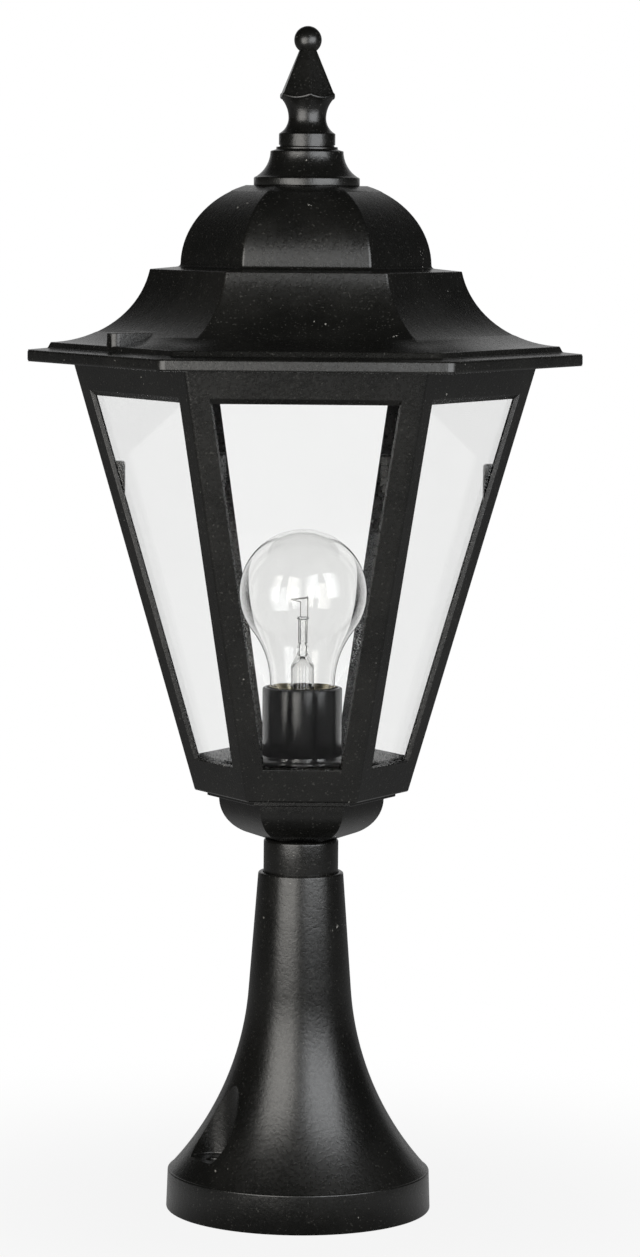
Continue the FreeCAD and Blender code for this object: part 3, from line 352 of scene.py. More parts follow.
class Outline:
    """Profile drawn from point to point in the X-Z plane, then turned about the lamp's axis."""

    def __init__(self, x, z):
        self.bm = bmesh.new()
        self.first = self.pen = self.bm.verts.new((x, 0, z))

    def line(self, x, z):
        """Straight run to a point."""
        grown = bmesh.ops.extrude_vert_indiv(self.bm, verts=[self.pen])
        self.pen = grown["verts"][0]
        self.pen.co = (x, 0, z)
        return self

    def arc(self, end, centre, steps=4):
        """Arc about a centre to a point."""
        start = self.pen.co
        angle = math.atan2(start.z - centre[1], start.x - centre[0])
        angle -= math.atan2(end[1] - centre[1], end[0] - centre[0])
        angle = (angle + math.pi) % math.tau - math.pi
        swept = bmesh.ops.spin(
            self.bm, geom=[self.pen], cent=(centre[0], 0, centre[1]), axis=(0, 1, 0), angle=angle, steps=steps
        )
        self.pen = verts_in(swept["geom_last"])[0]
        self.pen.co = (end[0], 0, end[1])
        return self

    def quarter(self, end, corner, steps=4):
        """Quarter round that is tangent to the runs that would meet at a corner."""
        start = self.pen.co
        return self.arc(end, (start.x + end[0] - corner[0], start.z + end[1] - corner[1]), steps)

    def close(self):
        """Joins the last point to the first one."""
        self.bm.edges.new((self.pen, self.first))
        return self

    def soften(self, width, limit=25):
        """Rounds the sharp corners of the profile."""
        sharp = []
        for vert in self.bm.verts:
            if len(vert.link_edges) == 2:
                arms = [edge.other_vert(vert).co - vert.co for edge in vert.link_edges]
                bend = math.pi - arms[0].angle(arms[1])
                if bend > math.radians(limit) and min(arm.length for arm in arms) > 2.2 * width:
                    sharp.append(vert)
        if sharp:
            bmesh.ops.bevel(
                self.bm, geom=sharp, offset=width, offset_type="OFFSET", segments=3, profile=0.5,
                affect="VERTICES", material=-1,
            )
        return self

    def turned(self, steps=112):
        """Surface of revolution, closed on itself."""
        bm = self.bm
        bmesh.ops.spin(
            bm, geom=bm.verts[:] + bm.edges[:], cent=(0, 0, 0), axis=UP, angle=math.tau, steps=steps,
            use_merge=True,
        )
        return sealed(bm)

    def six_sided(self):
        """Six-sided surface whose apothem follows the profile, with a corner towards +X."""
        bmesh.ops.scale(self.bm, vec=(1 / HEX_COS, 1, 1), verts=self.bm.verts)
        return self.turned(6)

    def slab(self, width):
        """Bar with the profile as its side, centred on the X-Z plane."""
        bm = self.bm
        side = bmesh.ops.contextual_create(bm, geom=bm.edges[:])["faces"]
        bmesh.ops.translate(bm, vec=(0, -width / 2, 0), verts=bm.verts)
        grown = bmesh.ops.extrude_face_region(bm, geom=side)["geom"]
        bmesh.ops.translate(bm, vec=(0, width, 0), verts=verts_in(grown))
        return sealed(bm)


def verts_in(geometry):
    """Vertices among the parts that an operator gives."""
    return [part for part in geometry if isinstance(part, bmesh.types.BMVert)]


def sealed(bm):
    """Merges seams and poles, and turns every face outwards."""
    bmesh.ops.remove_doubles(bm, verts=bm.verts, dist=WELD)
    bmesh.ops.dissolve_degenerate(bm, edges=bm.edges, dist=1e-7)
    bmesh.ops.recalc_face_normals(bm, faces=bm.faces)
    return bm


def arc_centre(start, end, radius, hollow):
    """Centre of an arc between two points; a hollow arc has its centre on the outer side."""
    run = (end[0] - start[0], end[1] - start[1])
    chord = math.hypot(*run)
    rise = math.sqrt(radius ** 2 - (chord / 2) ** 2)
    side = 1 if hollow else -1
    middle = ((start[0] + end[0]) / 2, (start[1] + end[1]) / 2)
    return middle[0] + side * rise * run[1] / chord, middle[1] - side * rise * run[0] / chord


def joined(bm, *others):
    """Adds the shells of other meshes to a mesh."""
    for other in others:
        carrier = bpy.data.meshes.new("carrier")
        other.to_mesh(carrier)
        bm.from_mesh(carrier)
        bpy.data.meshes.remove(carrier)
        other.free()
    return bm


def carved(bm, tool, operation="DIFFERENCE"):
    """Mesh cut by, or shared with, a closed tool."""
    shapes = []
    for name, shape in (("work", bm), ("tool", tool)):
        mesh = bpy.data.meshes.new(name)
        shape.to_mesh(mesh)
        shape.free()
        shapes.append(bpy.data.objects.new(name, mesh))
        bpy.context.scene.collection.objects.link(shapes[-1])
    cut = shapes[0].modifiers.new("cut", "BOOLEAN")
    cut.operation = operation
    cut.solver = "EXACT"
    cut.object = shapes[1]
    bpy.context.view_layer.update()
    graph = bpy.context.evaluated_depsgraph_get()
    result = bpy.data.meshes.new_from_object(shapes[0].evaluated_get(graph))
    fresh = bmesh.new()
    fresh.from_mesh(result)
    meshes = [result] + [shape.data for shape in shapes]
    for shape in shapes:
        bpy.data.objects.remove(shape)
    for mesh in meshes:
        bpy.data.meshes.remove(mesh)
    if not fresh.faces:
        raise RuntimeError("a cut left nothing of the piece")
    bmesh.ops.remove_doubles(fresh, verts=fresh.verts, dist=WELD)
    return fresh


def rounded(bm, width, limit=28, keep=None, segments=3):
    """Rounds the outer edges that are sharper than a limit in degrees."""
    sharp = [
        edge for edge in bm.edges
        if len(edge.link_faces) == 2 and edge.calc_face_angle_signed(0) > math.radians(limit)
        and (keep is None or keep(edge))
    ]
    if sharp:
        bmesh.ops.bevel(
            bm, geom=sharp, offset=width, offset_type="OFFSET", segments=segments, profile=0.5, affect="EDGES",
            clamp_overlap=True, loop_slide=True, material=-1,
        )
    return bm


def around(bm, turns):
    """Repeats a mesh round the lamp's axis."""
    bmesh.ops.spin(
        bm, geom=bm.verts[:] + bm.edges[:] + bm.faces[:], cent=(0, 0, 0), axis=UP,
        angle=math.tau * (turns - 1) / turns, steps=turns - 1, use_duplicate=True,
    )
    return bm


def turn_about_axis(bm, angle):
    """Turns a mesh about the lamp's axis."""
    bmesh.ops.rotate(bm, cent=(0, 0, 0), matrix=Matrix.Rotation(angle, 3, "Z"), verts=bm.verts)
    return bm


def piece(name, bm, material, body, slot, *nodes, crease=38, weighted=False):
    """Object from a mesh: smooth faces, sharp creases, a finish, a body to ride on and nodes to stand for."""
    for face in bm.faces:
        face.smooth = True
    for edge in bm.edges:
        edge.smooth = len(edge.link_faces) == 2 and edge.calc_face_angle(0) < math.radians(crease)
    mesh = bpy.data.meshes.new(name)
    bm.to_mesh(mesh)
    bm.free()
    mesh.materials.append(material)
    shown = bpy.data.objects.new(name, mesh)
    bpy.context.scene.collection.objects.link(shown)
    if weighted:
        normals = shown.modifiers.new("flat_facets", "WEIGHTED_NORMAL")
        normals.keep_sharp = True
        normals.weight = 80
    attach(shown, body)
    if nodes:
        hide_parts(*nodes)
    return shown


def dress(material, *nodes):
    """Gives CAD nodes their finish."""
    for name in nodes:
        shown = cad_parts[name]
        if not shown.material_slots:
            shown.data.materials.append(material)
        shown.material_slots[0].material = material


# Finishes


def smooth_share(tree, value, start, end, low=0.0, high=1.0):
    """Value's smooth way from one number to another."""
    fade = tree.nodes.new("ShaderNodeMapRange")
    fade.interpolation_type = "SMOOTHSTEP"
    for socket, number in (("From Min", start), ("From Max", end), ("To Min", low), ("To Max", high)):
        fade.inputs[socket].default_value = number
    tree.links.new(value, fade.inputs["Value"])
    return fade.outputs["Result"]


def combined(tree, operation, first, second):
    """Two outputs joined by a sum, a product or the like; the second may be a number."""
    node = tree.nodes.new("ShaderNodeMath")
    node.operation = operation
    tree.links.new(first, node.inputs[0])
    if isinstance(second, bpy.types.NodeSocket):
        tree.links.new(second, node.inputs[1])
    else:
        node.inputs[1].default_value = second
    return node.outputs["Value"]


class Finish:
    """Material under construction, with its nodes and its shader."""

    def __init__(self, name):
        self.material = bpy.data.materials.new(name)
        self.material.use_nodes = True
        self.tree = self.material.node_tree
        self.shader = self.tree.nodes["Principled BSDF"]
        self.place = self.tree.nodes.new("ShaderNodeTexCoord").outputs["Object"]

    def set(self, **values):
        """Sets the shader's own sockets."""
        for socket, value in values.items():
            self.shader.inputs[socket.replace("_", " ")].default_value = value
        return self

    def link(self, output, socket):
        """Links an output to a socket of the shader."""
        self.tree.links.new(output, self.shader.inputs[socket])
        return self

    def noise(self, scale, detail=2.0, roughness=0.5, stretch=None):
        """Noise in object space, from 0 to 1."""
        node = self.tree.nodes.new("ShaderNodeTexNoise")
        node.inputs["Scale"].default_value = scale
        node.inputs["Detail"].default_value = detail
        node.inputs["Roughness"].default_value = roughness
        place = self.place
        if stretch:
            mapping = self.tree.nodes.new("ShaderNodeMapping")
            mapping.inputs["Scale"].default_value = stretch
            self.tree.links.new(self.place, mapping.inputs["Vector"])
            place = mapping.outputs["Vector"]
        self.tree.links.new(place, node.inputs["Vector"])
        return node.outputs["Fac"]

    def spread(self, value, low, high, to_low=0.0, to_high=1.0):
        """Maps a range of values smoothly to another."""
        return smooth_share(self.tree, value, low, high, to_low, to_high)

    def sum(self, first, second, share):
        """Sum of two values, of which the second is weighted by a share."""
        return combined(self.tree, "ADD", first, combined(self.tree, "MULTIPLY", second, share))

    def mix(self, share, first, second):
        """Mix of two colours, each a colour or an output."""
        node = self.tree.nodes.new("ShaderNodeMix")
        node.data_type = "RGBA"
        self.tree.links.new(share, node.inputs["Factor"])
        for socket, value in ((node.inputs[6], first), (node.inputs[7], second)):
            if isinstance(value, bpy.types.NodeSocket):
                self.tree.links.new(value, socket)
            else:
                socket.default_value = (*value, 1)
        return node.outputs[2]

    def tone(self, share, shade, other):
        """Base colour that goes from a shade to the shade times a number."""
        return self.link(self.mix(share, shade, times(shade, other)), "Base Color")

    def bump(self, height, distance):
        """Bump from a height, in metres."""
        node = self.tree.nodes.new("ShaderNodeBump")
        node.inputs["Distance"].default_value = distance
        node.inputs["Strength"].default_value = 1.0
        self.tree.links.new(height, node.inputs["Height"])
        return self.link(node.outputs["Normal"], "Normal")


def grey(share):
    """Neutral colour of a given strength."""
    return share, share, share, 1


def times(shade, number):
    """Shade made paler or darker by a number."""
    return tuple(number * part for part in shade)


def made_once(build):
    """Keeps a finish after it is first made."""
    kept = {}

    def finish():
        if build not in kept:
            kept[build] = build(bpy.context.scene.lamp_finish).material
        return kept[build]

    return finish


@made_once
def powder_coat(f):
    """Black textured powder coat: fine grain over a lumpy skin, dusty patches, painted glints and a few small chips."""
    coat = Finish("powder_coat")
    grain = coat.noise(1900, 1.0)
    skin = coat.noise(620, 2.0, 0.55)
    lumps = coat.noise(110, 2.0)
    dust = coat.noise(22, 4.0, 0.6)
    # Painted glints: sparse fine specks of the chip tone that stand in for the coat's sparkle in the light
    painted_glints = coat.spread(coat.noise(1050, 0.0), 0.72, 0.8, 0.0, 0.12)
    chips = coat.spread(coat.sum(coat.noise(420, 1.0), coat.noise(41, 2.0), 0.6), 1.145, 1.175)
    tone = coat.mix(coat.spread(dust, 0.4, 0.66), f.coat, f.coat_dust)
    tone = coat.mix(painted_glints, tone, f.coat_chip_and_glint)
    coat.link(coat.mix(chips, tone, f.coat_chip_and_glint), "Base Color")
    gloss = (f.coat_roughness - 0.03, f.coat_roughness + 0.05)
    coat.link(coat.spread(coat.sum(skin, dust, 0.5), 0.45, 1.05, *gloss), "Roughness")
    coat.set(Specular_IOR_Level=f.coat_specular)
    return coat.bump(coat.sum(coat.sum(skin, grain, 0.5), lumps, 1.2), 0.00008)


@made_once
def pane_glass(f):
    """Clear flat glass with faint waves and a trace of dust."""
    glass = Finish("pane_glass")
    glass.set(Transmission_Weight=1.0, IOR=1.47, Roughness=0.0, Specular_Tint=grey(f.pane_gloss))
    smear = glass.spread(glass.noise(28, 3.0, 0.6), 0.4, 0.8)
    glass.tone(smear, f.pane_tint, 0.99)
    return glass.bump(glass.noise(14, 1.0), 0.00001)


@made_once
def bulb_glass(f):
    """Clear blown glass with a soft unevenness."""
    glass = Finish("bulb_clear_glass")
    glass.set(Transmission_Weight=1.0, IOR=1.5, Roughness=0.0, Specular_Tint=grey(f.bulb_gloss))
    cloud = glass.spread(glass.noise(60, 2.0), 0.4, 0.8)
    glass.tone(cloud, f.bulb_tint, 0.985)
    return glass.bump(glass.noise(40, 1.0), 0.000004)


@made_once
def holder_plastic(f):
    """Smooth black moulded plastic with faint moulding flow."""
    plastic = Finish("holder_plastic")
    flow = plastic.noise(70, 3.0, 0.5, (1.0, 1.0, 0.25))
    plastic.tone(plastic.spread(flow, 0.35, 0.7), f.holder, 1.5)
    plastic.link(plastic.spread(flow, 0.3, 0.75, 0.19, 0.23), "Roughness")
    return plastic.bump(plastic.noise(300, 1.0), 0.000004)


@made_once
def holder_ceramic(f):
    """White glazed ceramic with small pits."""
    ceramic = Finish("holder_ceramic")
    pits = ceramic.spread(ceramic.noise(500, 1.0), 0.66, 0.75)
    ceramic.tone(pits, f.ceramic, 0.6)
    ceramic.link(ceramic.spread(ceramic.noise(90, 2.0), 0.3, 0.7, 0.25, 0.4), "Roughness")
    return ceramic.bump(ceramic.noise(700, 2.0), 0.00002)


@made_once
def contact_brass(f):
    """Bare brass with a tarnished bloom."""
    brass = Finish("contact_brass")
    bloom = brass.spread(brass.noise(120, 4.0, 0.6), 0.35, 0.7)
    brass.tone(bloom, f.brass, 0.55)
    brass.link(brass.spread(bloom, 0.0, 1.0, 0.22, 0.4), "Roughness")
    return brass.set(Metallic=1.0).bump(brass.noise(1500, 1.0), 0.000008)


@made_once
def zinc_steel(f):
    """Bright zinc plate with fine scratches and duller patches."""
    zinc = Finish("zinc_steel")
    scratches = zinc.noise(260, 3.0, 0.6, (1.0, 1.0, 0.06))
    patches = zinc.noise(80, 3.0)
    zinc.tone(zinc.spread(patches, 0.35, 0.7), f.zinc, 0.7)
    zinc.link(zinc.spread(zinc.sum(scratches, patches, 0.5), 0.4, 1.0, 0.24, 0.45), "Roughness")
    return zinc.set(Metallic=1.0).bump(scratches, 0.00001)


@made_once
def cap_metal(f):
    """Rolled cap metal, bright on the crests."""
    cap = Finish("cap_metal")
    stains = cap.spread(cap.noise(150, 3.0), 0.4, 0.75)
    cap.tone(stains, f.cap, 0.72)
    cap.link(cap.spread(stains, 0.0, 1.0, 0.2, 0.36), "Roughness")
    return cap.set(Metallic=1.0).bump(cap.noise(800, 1.0), 0.000006)


@made_once
def cap_insulator(f):
    """Black glass button with a pressed, uneven gloss."""
    button = Finish("cap_insulator")
    flow = button.noise(220, 2.0)
    button.tone(flow, f.holder, 2.2)
    button.link(button.spread(flow, 0.3, 0.7, 0.08, 0.2), "Roughness")
    return button.bump(flow, 0.00004)


@made_once
def filament_wire(f):
    """Drawn wire with a grey oxide."""
    wire = Finish("filament_wire")
    oxide = wire.spread(wire.noise(700, 2.0), 0.3, 0.7)
    wire.tone(oxide, f.filament, 1.8)
    wire.link(wire.spread(oxide, 0.0, 1.0, 0.3, 0.5), "Roughness")
    return wire.set(Metallic=1.0)


@made_once
def block_nylon(f):
    """Natural nylon with a faint moulding grain."""
    nylon = Finish("block_plastic")
    cloud = nylon.noise(130, 3.0)
    nylon.tone(nylon.spread(cloud, 0.3, 0.7), f.nylon, 0.88)
    nylon.link(nylon.spread(cloud, 0.3, 0.7, 0.4, 0.52), "Roughness")
    nylon.set(Subsurface_Weight=0.15, Subsurface_Scale=0.001)
    return nylon.bump(nylon.noise(1200, 1.0), 0.00001)


def insulation(name, shade, stripe=None):
    """Wire insulation, plain or with a stripe that winds along it."""
    skin = Finish(name)
    scuffs = skin.spread(skin.noise(350, 3.0), 0.35, 0.75)
    shown = skin.mix(scuffs, shade, times(shade, 0.75))
    if stripe:
        wave = skin.tree.nodes.new("ShaderNodeTexWave")
        wave.bands_direction = "DIAGONAL"
        wave.inputs["Scale"].default_value = 60
        skin.tree.links.new(skin.place, wave.inputs["Vector"])
        shown = skin.mix(skin.spread(wave.outputs["Fac"], 0.45, 0.55), shown, stripe)
    skin.link(shown, "Base Color")
    skin.link(skin.spread(scuffs, 0.0, 1.0, 0.38, 0.5), "Roughness")
    return skin.bump(skin.noise(900, 1.0), 0.00001).material


# Castings


def neck_flare(p):
    """Tangent point, centre and radius of the flare between the neck's taper and the foot ring."""
    lean = p.taper_angle
    tangent = (p.neck_radius + p.taper_height * math.tan(lean), p.height - p.taper_height)
    run = p.foot_radius - p.ring_draft - p.ring_round - tangent[0]
    drop = tangent[1] - p.ring_height
    radius = (run ** 2 + drop ** 2) / (2 * (run * math.cos(lean) - drop * math.sin(lean)))
    return tangent, (tangent[0] + radius * math.cos(lean), tangent[1] + radius * math.sin(lean)), radius


def pedestal_outside(p):
    """Trumpet with the recess for the collar in its top."""
    tangent, centre, _ = neck_flare(p)
    draw = Outline(0, 0)
    draw.line(p.foot_radius - p.foot_round, 0)
    draw.quarter((p.foot_radius, p.foot_round), (p.foot_radius, 0))
    ring = p.foot_radius - p.ring_draft
    draw.line(ring, p.ring_height - p.ring_round)
    draw.quarter((ring - p.ring_round, p.ring_height), (ring, p.ring_height), 4)
    draw.arc(tangent, centre, 40)
    draw.line(p.neck_radius, p.height - p.rim_round)
    draw.quarter((p.neck_radius - p.rim_round, p.height), (p.neck_radius, p.height))
    draw.line(p.recess_radius, p.height)
    draw.line(p.recess_radius, p.height - p.recess_depth)
    draw.line(0, p.height - p.recess_depth)
    return draw.soften(p.fine_round).turned(144)


def pedestal_cavity(p):
    """Space inside the pedestal, with the rod's hole through the bridge and the pocket casings left standing."""
    tangent, centre, sweep = neck_flare(p)
    lean = p.taper_angle
    below = -SPARE
    ceiling = p.height - p.recess_depth - p.bridge
    mouth = p.foot_radius - p.ring_draft - p.wall
    lip = centre[1] - math.sqrt((sweep + p.wall) ** 2 - (centre[0] - mouth) ** 2)
    taper = (tangent[0] - p.wall * math.cos(lean), tangent[1] - p.wall * math.sin(lean))
    draw = Outline(0, below).line(mouth, below).line(mouth, lip)
    draw.arc(taper, centre, 28)
    draw.line(taper[0] - (ceiling - taper[1]) * math.tan(lean), ceiling).line(p.rod_hole, ceiling)
    space = draw.line(p.rod_hole, p.height + SPARE).line(0, p.height + SPARE).turned(112)
    for angle in pocket_angles():
        radius, floor = p.pocket_radius + p.pocket_wall, p.pocket_floor - p.pocket_wall
        case = Outline(0, 2 * below).line(p.column_radius, 2 * below).line(p.column_radius, floor)
        case.line(radius, floor).line(radius, p.height).line(0, p.height)
        space = carved(space, moved(case.turned(48), p.pocket_circle, angle))
    return space


def pocket_angles():
    """Directions of the two screw pockets about the axis."""
    return math.radians(210), math.radians(30)


def moved(bm, distance, angle):
    """Moves a turned shape off the lamp's axis."""
    bmesh.ops.translate(bm, vec=(distance * math.cos(angle), distance * math.sin(angle), 0), verts=bm.verts)
    return bm


def pocket_tool(p, angle):
    """Screw pocket with its fixing hole, as a cutting tool."""
    draw = Outline(0, -SPARE).line(p.hole_radius, -SPARE).line(p.hole_radius, p.pocket_floor)
    draw.line(p.pocket_radius, p.pocket_floor).line(p.pocket_radius, p.height).line(0, p.height)
    return moved(draw.soften(p.pocket_round).turned(64), p.pocket_circle, angle)


class LAMP_OT_pedestal(bpy.types.Operator):
    """Models the trumpet-shaped pedestal with its screw pockets"""

    bl_idname = "lamp.pedestal"
    bl_label = "Pedestal"

    def execute(self, context):
        p = context.scene.lamp_pedestal
        body = carved(pedestal_outside(p), pedestal_cavity(p))
        for angle in pocket_angles():
            body = carved(body, pocket_tool(p, angle))

        def at_mouth(edge):
            middle = (edge.verts[0].co + edge.verts[1].co) / 2
            gaps = []
            for angle in pocket_angles():
                axis = p.pocket_circle * Vector((math.cos(angle), math.sin(angle)))
                gaps.append(abs((middle.xy - axis).length - p.pocket_radius))
            return min(gaps) < 0.2 * MM and middle.z > p.pocket_floor + 2 * MM

        rounded(body, p.pocket_edge, 20, at_mouth)
        piece("pedestal_casting", body, powder_coat(), "lamp", "powder_coat", "pedestal", crease=32)
        return {"FINISHED"}


class LAMP_OT_neck_collar(bpy.types.Operator):
    """Models the round collar between the pedestal and the bowl"""

    bl_idname = "lamp.neck_collar"
    bl_label = "Neck collar"

    def execute(self, context):
        b = context.scene.lamp_bowl
        low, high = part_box("neck_collar")
        draw = Outline(b.collar_radius - b.collar_wall, low.z).line(b.collar_radius, low.z)
        draw.line(b.collar_radius, high.z - b.collar_round)
        draw.quarter((b.collar_radius - b.collar_round, high.z), (b.collar_radius, high.z), 6)
        draw.line(b.collar_radius - b.collar_wall, high.z).close()
        draw.soften(b.collar_fine)
        piece("neck_collar_casting", draw.turned(96), powder_coat(), "lamp", "powder_coat", "neck_collar")
        return {"FINISHED"}


class LAMP_OT_lower_bowl(bpy.types.Operator):
    """Models the six-sided bowl and its flange"""

    bl_idname = "lamp.lower_bowl"
    bl_label = "Lower bowl"

    def execute(self, context):
        b = context.scene.lamp_bowl
        low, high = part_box("lower_bowl")
        flange = high.z - b.flange_thickness
        centre = (b.apothem - b.belly_round, flange - b.straight)
        sweep = math.radians(90) - b.slope
        tangent = (centre[0] + b.belly_round * math.cos(sweep), centre[1] - b.belly_round * math.sin(sweep))
        inner = b.belly_round - b.wall
        draw = Outline(b.rod_hole, low.z).line(b.foot_apothem, low.z).line(*tangent)
        draw.arc((b.apothem, centre[1]), centre, 14)
        draw.line(b.apothem, flange).line(b.flange_apothem, flange).line(b.flange_apothem, high.z)
        draw.line(b.apothem - b.wall, high.z).line(b.apothem - b.wall, centre[1])
        draw.arc((centre[0], centre[1] - inner), centre, 8)
        draw.line(b.rod_hole, centre[1] - inner).close()
        bowl = rounded(draw.soften(b.bowl_fine).six_sided(), b.ridge)
        piece("lower_bowl_casting", bowl, powder_coat(), "lamp", "powder_coat", "lower_bowl", weighted=True)
        return {"FINISHED"}


def cage_foot():
    """Height of the cage's foot."""
    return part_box("lantern_cage")[0].z


def cage_slope(c):
    """How far the cage's sides lean out for each step up."""
    return (c.top_apothem - c.foot_apothem) / c.height


def cage_apothem(c, z, inset=0.0):
    """Apothem of the cage's slanted side at a height, inset square to the side."""
    return c.foot_apothem + (z - cage_foot()) * cage_slope(c) - inset * math.hypot(1, cage_slope(c))


def facet_sides(facet):
    """Outward direction of a facet and the direction along it, counted from the front one."""
    azimuth = math.radians(60 * facet - 90)
    out = Vector((math.cos(azimuth), math.sin(azimuth), 0))
    return out, Vector((-out.y, out.x, 0))


def facet_point(c, facet, side, z, depth, margin):
    """Point on a facet of the cage, with a margin from the facet's corner."""
    out, along = facet_sides(facet)
    half = side * (cage_apothem(c, z) * HEX_TAN - margin)
    return out * cage_apothem(c, z, depth) + along * half + UP * z


def cut_windows(c, bm):
    """Opens a window through the outer and the inner face of each facet."""
    least = c.height * c.foot_apothem
    tall = [face for face in bm.faces if face.calc_area() > least and abs(face.normal.z) < 0.5]
    bmesh.ops.inset_individual(bm, faces=tall, thickness=4 * MM, use_even_offset=True)
    rims = {}
    for face in tall:
        middle = face.calc_center_median()
        facet = round((math.degrees(math.atan2(middle.y, middle.x)) + 90) / 60) % 6
        rims.setdefault(facet, []).extend(face.edges)
        outside = face.normal.dot(Vector((middle.x, middle.y, 0))) > 0
        depth, draft, drop = (0.0, 0.0, 0.0) if outside else (c.wall, c.draft, c.head_draft)
        for vert in face.verts:
            side = 1 if facet_sides(facet)[1].dot(vert.co) > 0 else -1
            z = cage_foot() + (c.sill + draft if vert.co.z < middle.z else c.height - c.head - drop)
            vert.co = facet_point(c, facet, side, z, depth, c.post_width + draft)
    bmesh.ops.delete(bm, geom=tall, context="FACES_ONLY")
    for edges in rims.values():
        bmesh.ops.bridge_loops(bm, edges=edges)
    bmesh.ops.recalc_face_normals(bm, faces=bm.faces)
    return bm


def pane_plane(c, azimuth, inset):
    """Point and outward normal of a plane that lies parallel to a facet, inside it."""
    out = Vector((math.cos(azimuth), math.sin(azimuth), 0))
    return out * cage_apothem(c, cage_foot(), inset) + UP * cage_foot(), (out - UP * cage_slope(c)).normalized()


def pane_lug(c, width, inset):
    """Wedge on the +X post, trimmed by the planes of the two facets that meet there."""
    top = cage_foot() + c.height - c.lug_drop
    outer = c.top_apothem / HEX_COS
    draw = Outline(c.lug_face, top - c.lug_depth).line(c.lug_face, top - c.lug_round)
    draw.quarter((c.lug_face + c.lug_round, top), (c.lug_face, top), 4)
    draw.line(outer, top).line(outer, top - c.lug_depth).close()
    lug = draw.slab(width)
    for azimuth in (math.radians(30), math.radians(-30)):
        point, normal = pane_plane(c, azimuth, inset)
        cut = bmesh.ops.bisect_plane(
            lug, geom=lug.verts[:] + lug.edges[:] + lug.faces[:], plane_co=point, plane_no=normal, clear_outer=True,
        )
        rim = [part for part in cut["geom_cut"] if isinstance(part, bmesh.types.BMEdge)]
        bmesh.ops.edgeloop_fill(lug, edges=rim)
    return rounded(sealed(lug), c.lug_edge, 40, segments=2)


class LAMP_OT_lantern_cage(bpy.types.Operator):
    """Models the slanted cage with its windows, lugs and hidden flange"""

    bl_idname = "lamp.lantern_cage"
    bl_label = "Lantern cage"

    def execute(self, context):
        c = context.scene.lamp_cage
        low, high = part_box("lantern_cage")
        hole = context.scene.lamp_bowl.rod_hole
        top = low.z + c.height
        draw = Outline(hole, low.z).line(c.foot_apothem - c.foot_round, low.z)
        draw.line(cage_apothem(c, low.z + c.foot_round), low.z + c.foot_round)
        draw.line(c.top_apothem, top).line(c.flange_apothem, top).line(c.flange_apothem, high.z)
        draw.line(cage_apothem(c, high.z, c.wall), high.z)
        draw.line(cage_apothem(c, low.z + c.floor, c.wall), low.z + c.floor).line(hole, low.z + c.floor).close()

        def on_post(edge):
            reach = min(vert.co.xy.length - cage_apothem(c, vert.co.z) / HEX_COS for vert in edge.verts)
            return edge.calc_length() > c.height / 2 and reach > -0.5 * MM

        cage = cut_windows(c, rounded(draw.six_sided(), c.corner_round * HEX_TAN, 28, on_post, 5))
        rounded(cage, c.edge_round, 28, lambda edge: max(vert.co.z for vert in edge.verts) < top + 0.1 * MM)
        behind = c.wall + c.glass + 2 * c.glass_gap
        lugs = joined(pane_lug(c, c.lug_wing, behind), pane_lug(c, c.lug_neck, c.wall / 2))
        joined(cage, around(lugs, 6))
        piece("lantern_cage_casting", cage, powder_coat(), "lamp", "powder_coat", "lantern_cage", weighted=True)
        return {"FINISHED"}


class LAMP_OT_panes(bpy.types.Operator):
    """Models the six panes, which stand on the cage's floor behind the windows"""

    bl_idname = "lamp.panes"
    bl_label = "Panes"

    def execute(self, context):
        c = context.scene.lamp_cage
        depth = c.wall + c.glass_gap
        margin = (depth + c.glass) * math.hypot(1, cage_slope(c)) * HEX_TAN + c.lug_neck / 2 / HEX_COS + c.glass_gap
        low = cage_foot() + c.floor
        high = cage_foot() + c.height - c.pane_drop
        for facet, side in enumerate(("front", "front_right", "rear_right", "rear", "rear_left", "front_left")):
            bm = bmesh.new()
            corners = ((-1, low), (1, low), (1, high), (-1, high))
            verts = [bm.verts.new(facet_point(c, facet, across, z, depth, margin)) for across, z in corners]
            sheet = bm.faces.new(verts)
            sheet.normal_update()
            inward = -sheet.normal if sheet.normal.dot(Vector((*verts[0].co.xy, 0))) > 0 else sheet.normal.copy()
            grown = bmesh.ops.extrude_face_region(bm, geom=[sheet])["geom"]
            bmesh.ops.translate(bm, vec=inward * c.glass, verts=verts_in(grown))
            rounded(sealed(bm), c.pane_edge, 40, segments=2)
            piece("glass_" + side, bm, pane_glass(), "lamp", "pane_glass", "pane_" + side, weighted=True)
        return {"FINISHED"}


class RoofHeights:
    """Heights, ends and centres of the roof's profile."""

    def __init__(self, r, c):
        self.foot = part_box("roof")[0].z
        self.seat = self.foot + r.rebate_depth
        self.eave_top = self.foot + r.eave_thickness
        self.step = self.eave_top + r.eave_rise
        self.skirt_foot = (r.step_apothem - r.step_draft, self.step + r.step_height)
        self.skirt_head = (r.skirt_top, self.skirt_foot[1] + r.skirt_height)
        self.skirt_centre = arc_centre(self.skirt_foot, self.skirt_head, r.skirt_radius, True)
        self.ledge = self.skirt_head[1] + r.ledge_rise
        self.dome_foot = (r.dome_foot, self.ledge + r.dome_foot_round)
        self.dome_head = (r.dome_top, self.dome_foot[1] + r.dome_height)
        self.dome_centre = arc_centre(self.dome_foot, self.dome_head, r.dome_radius, False)
        self.rebate = c.flange_apothem + r.rebate_gap
        self.mouth = cage_apothem(c, self.foot, c.wall)


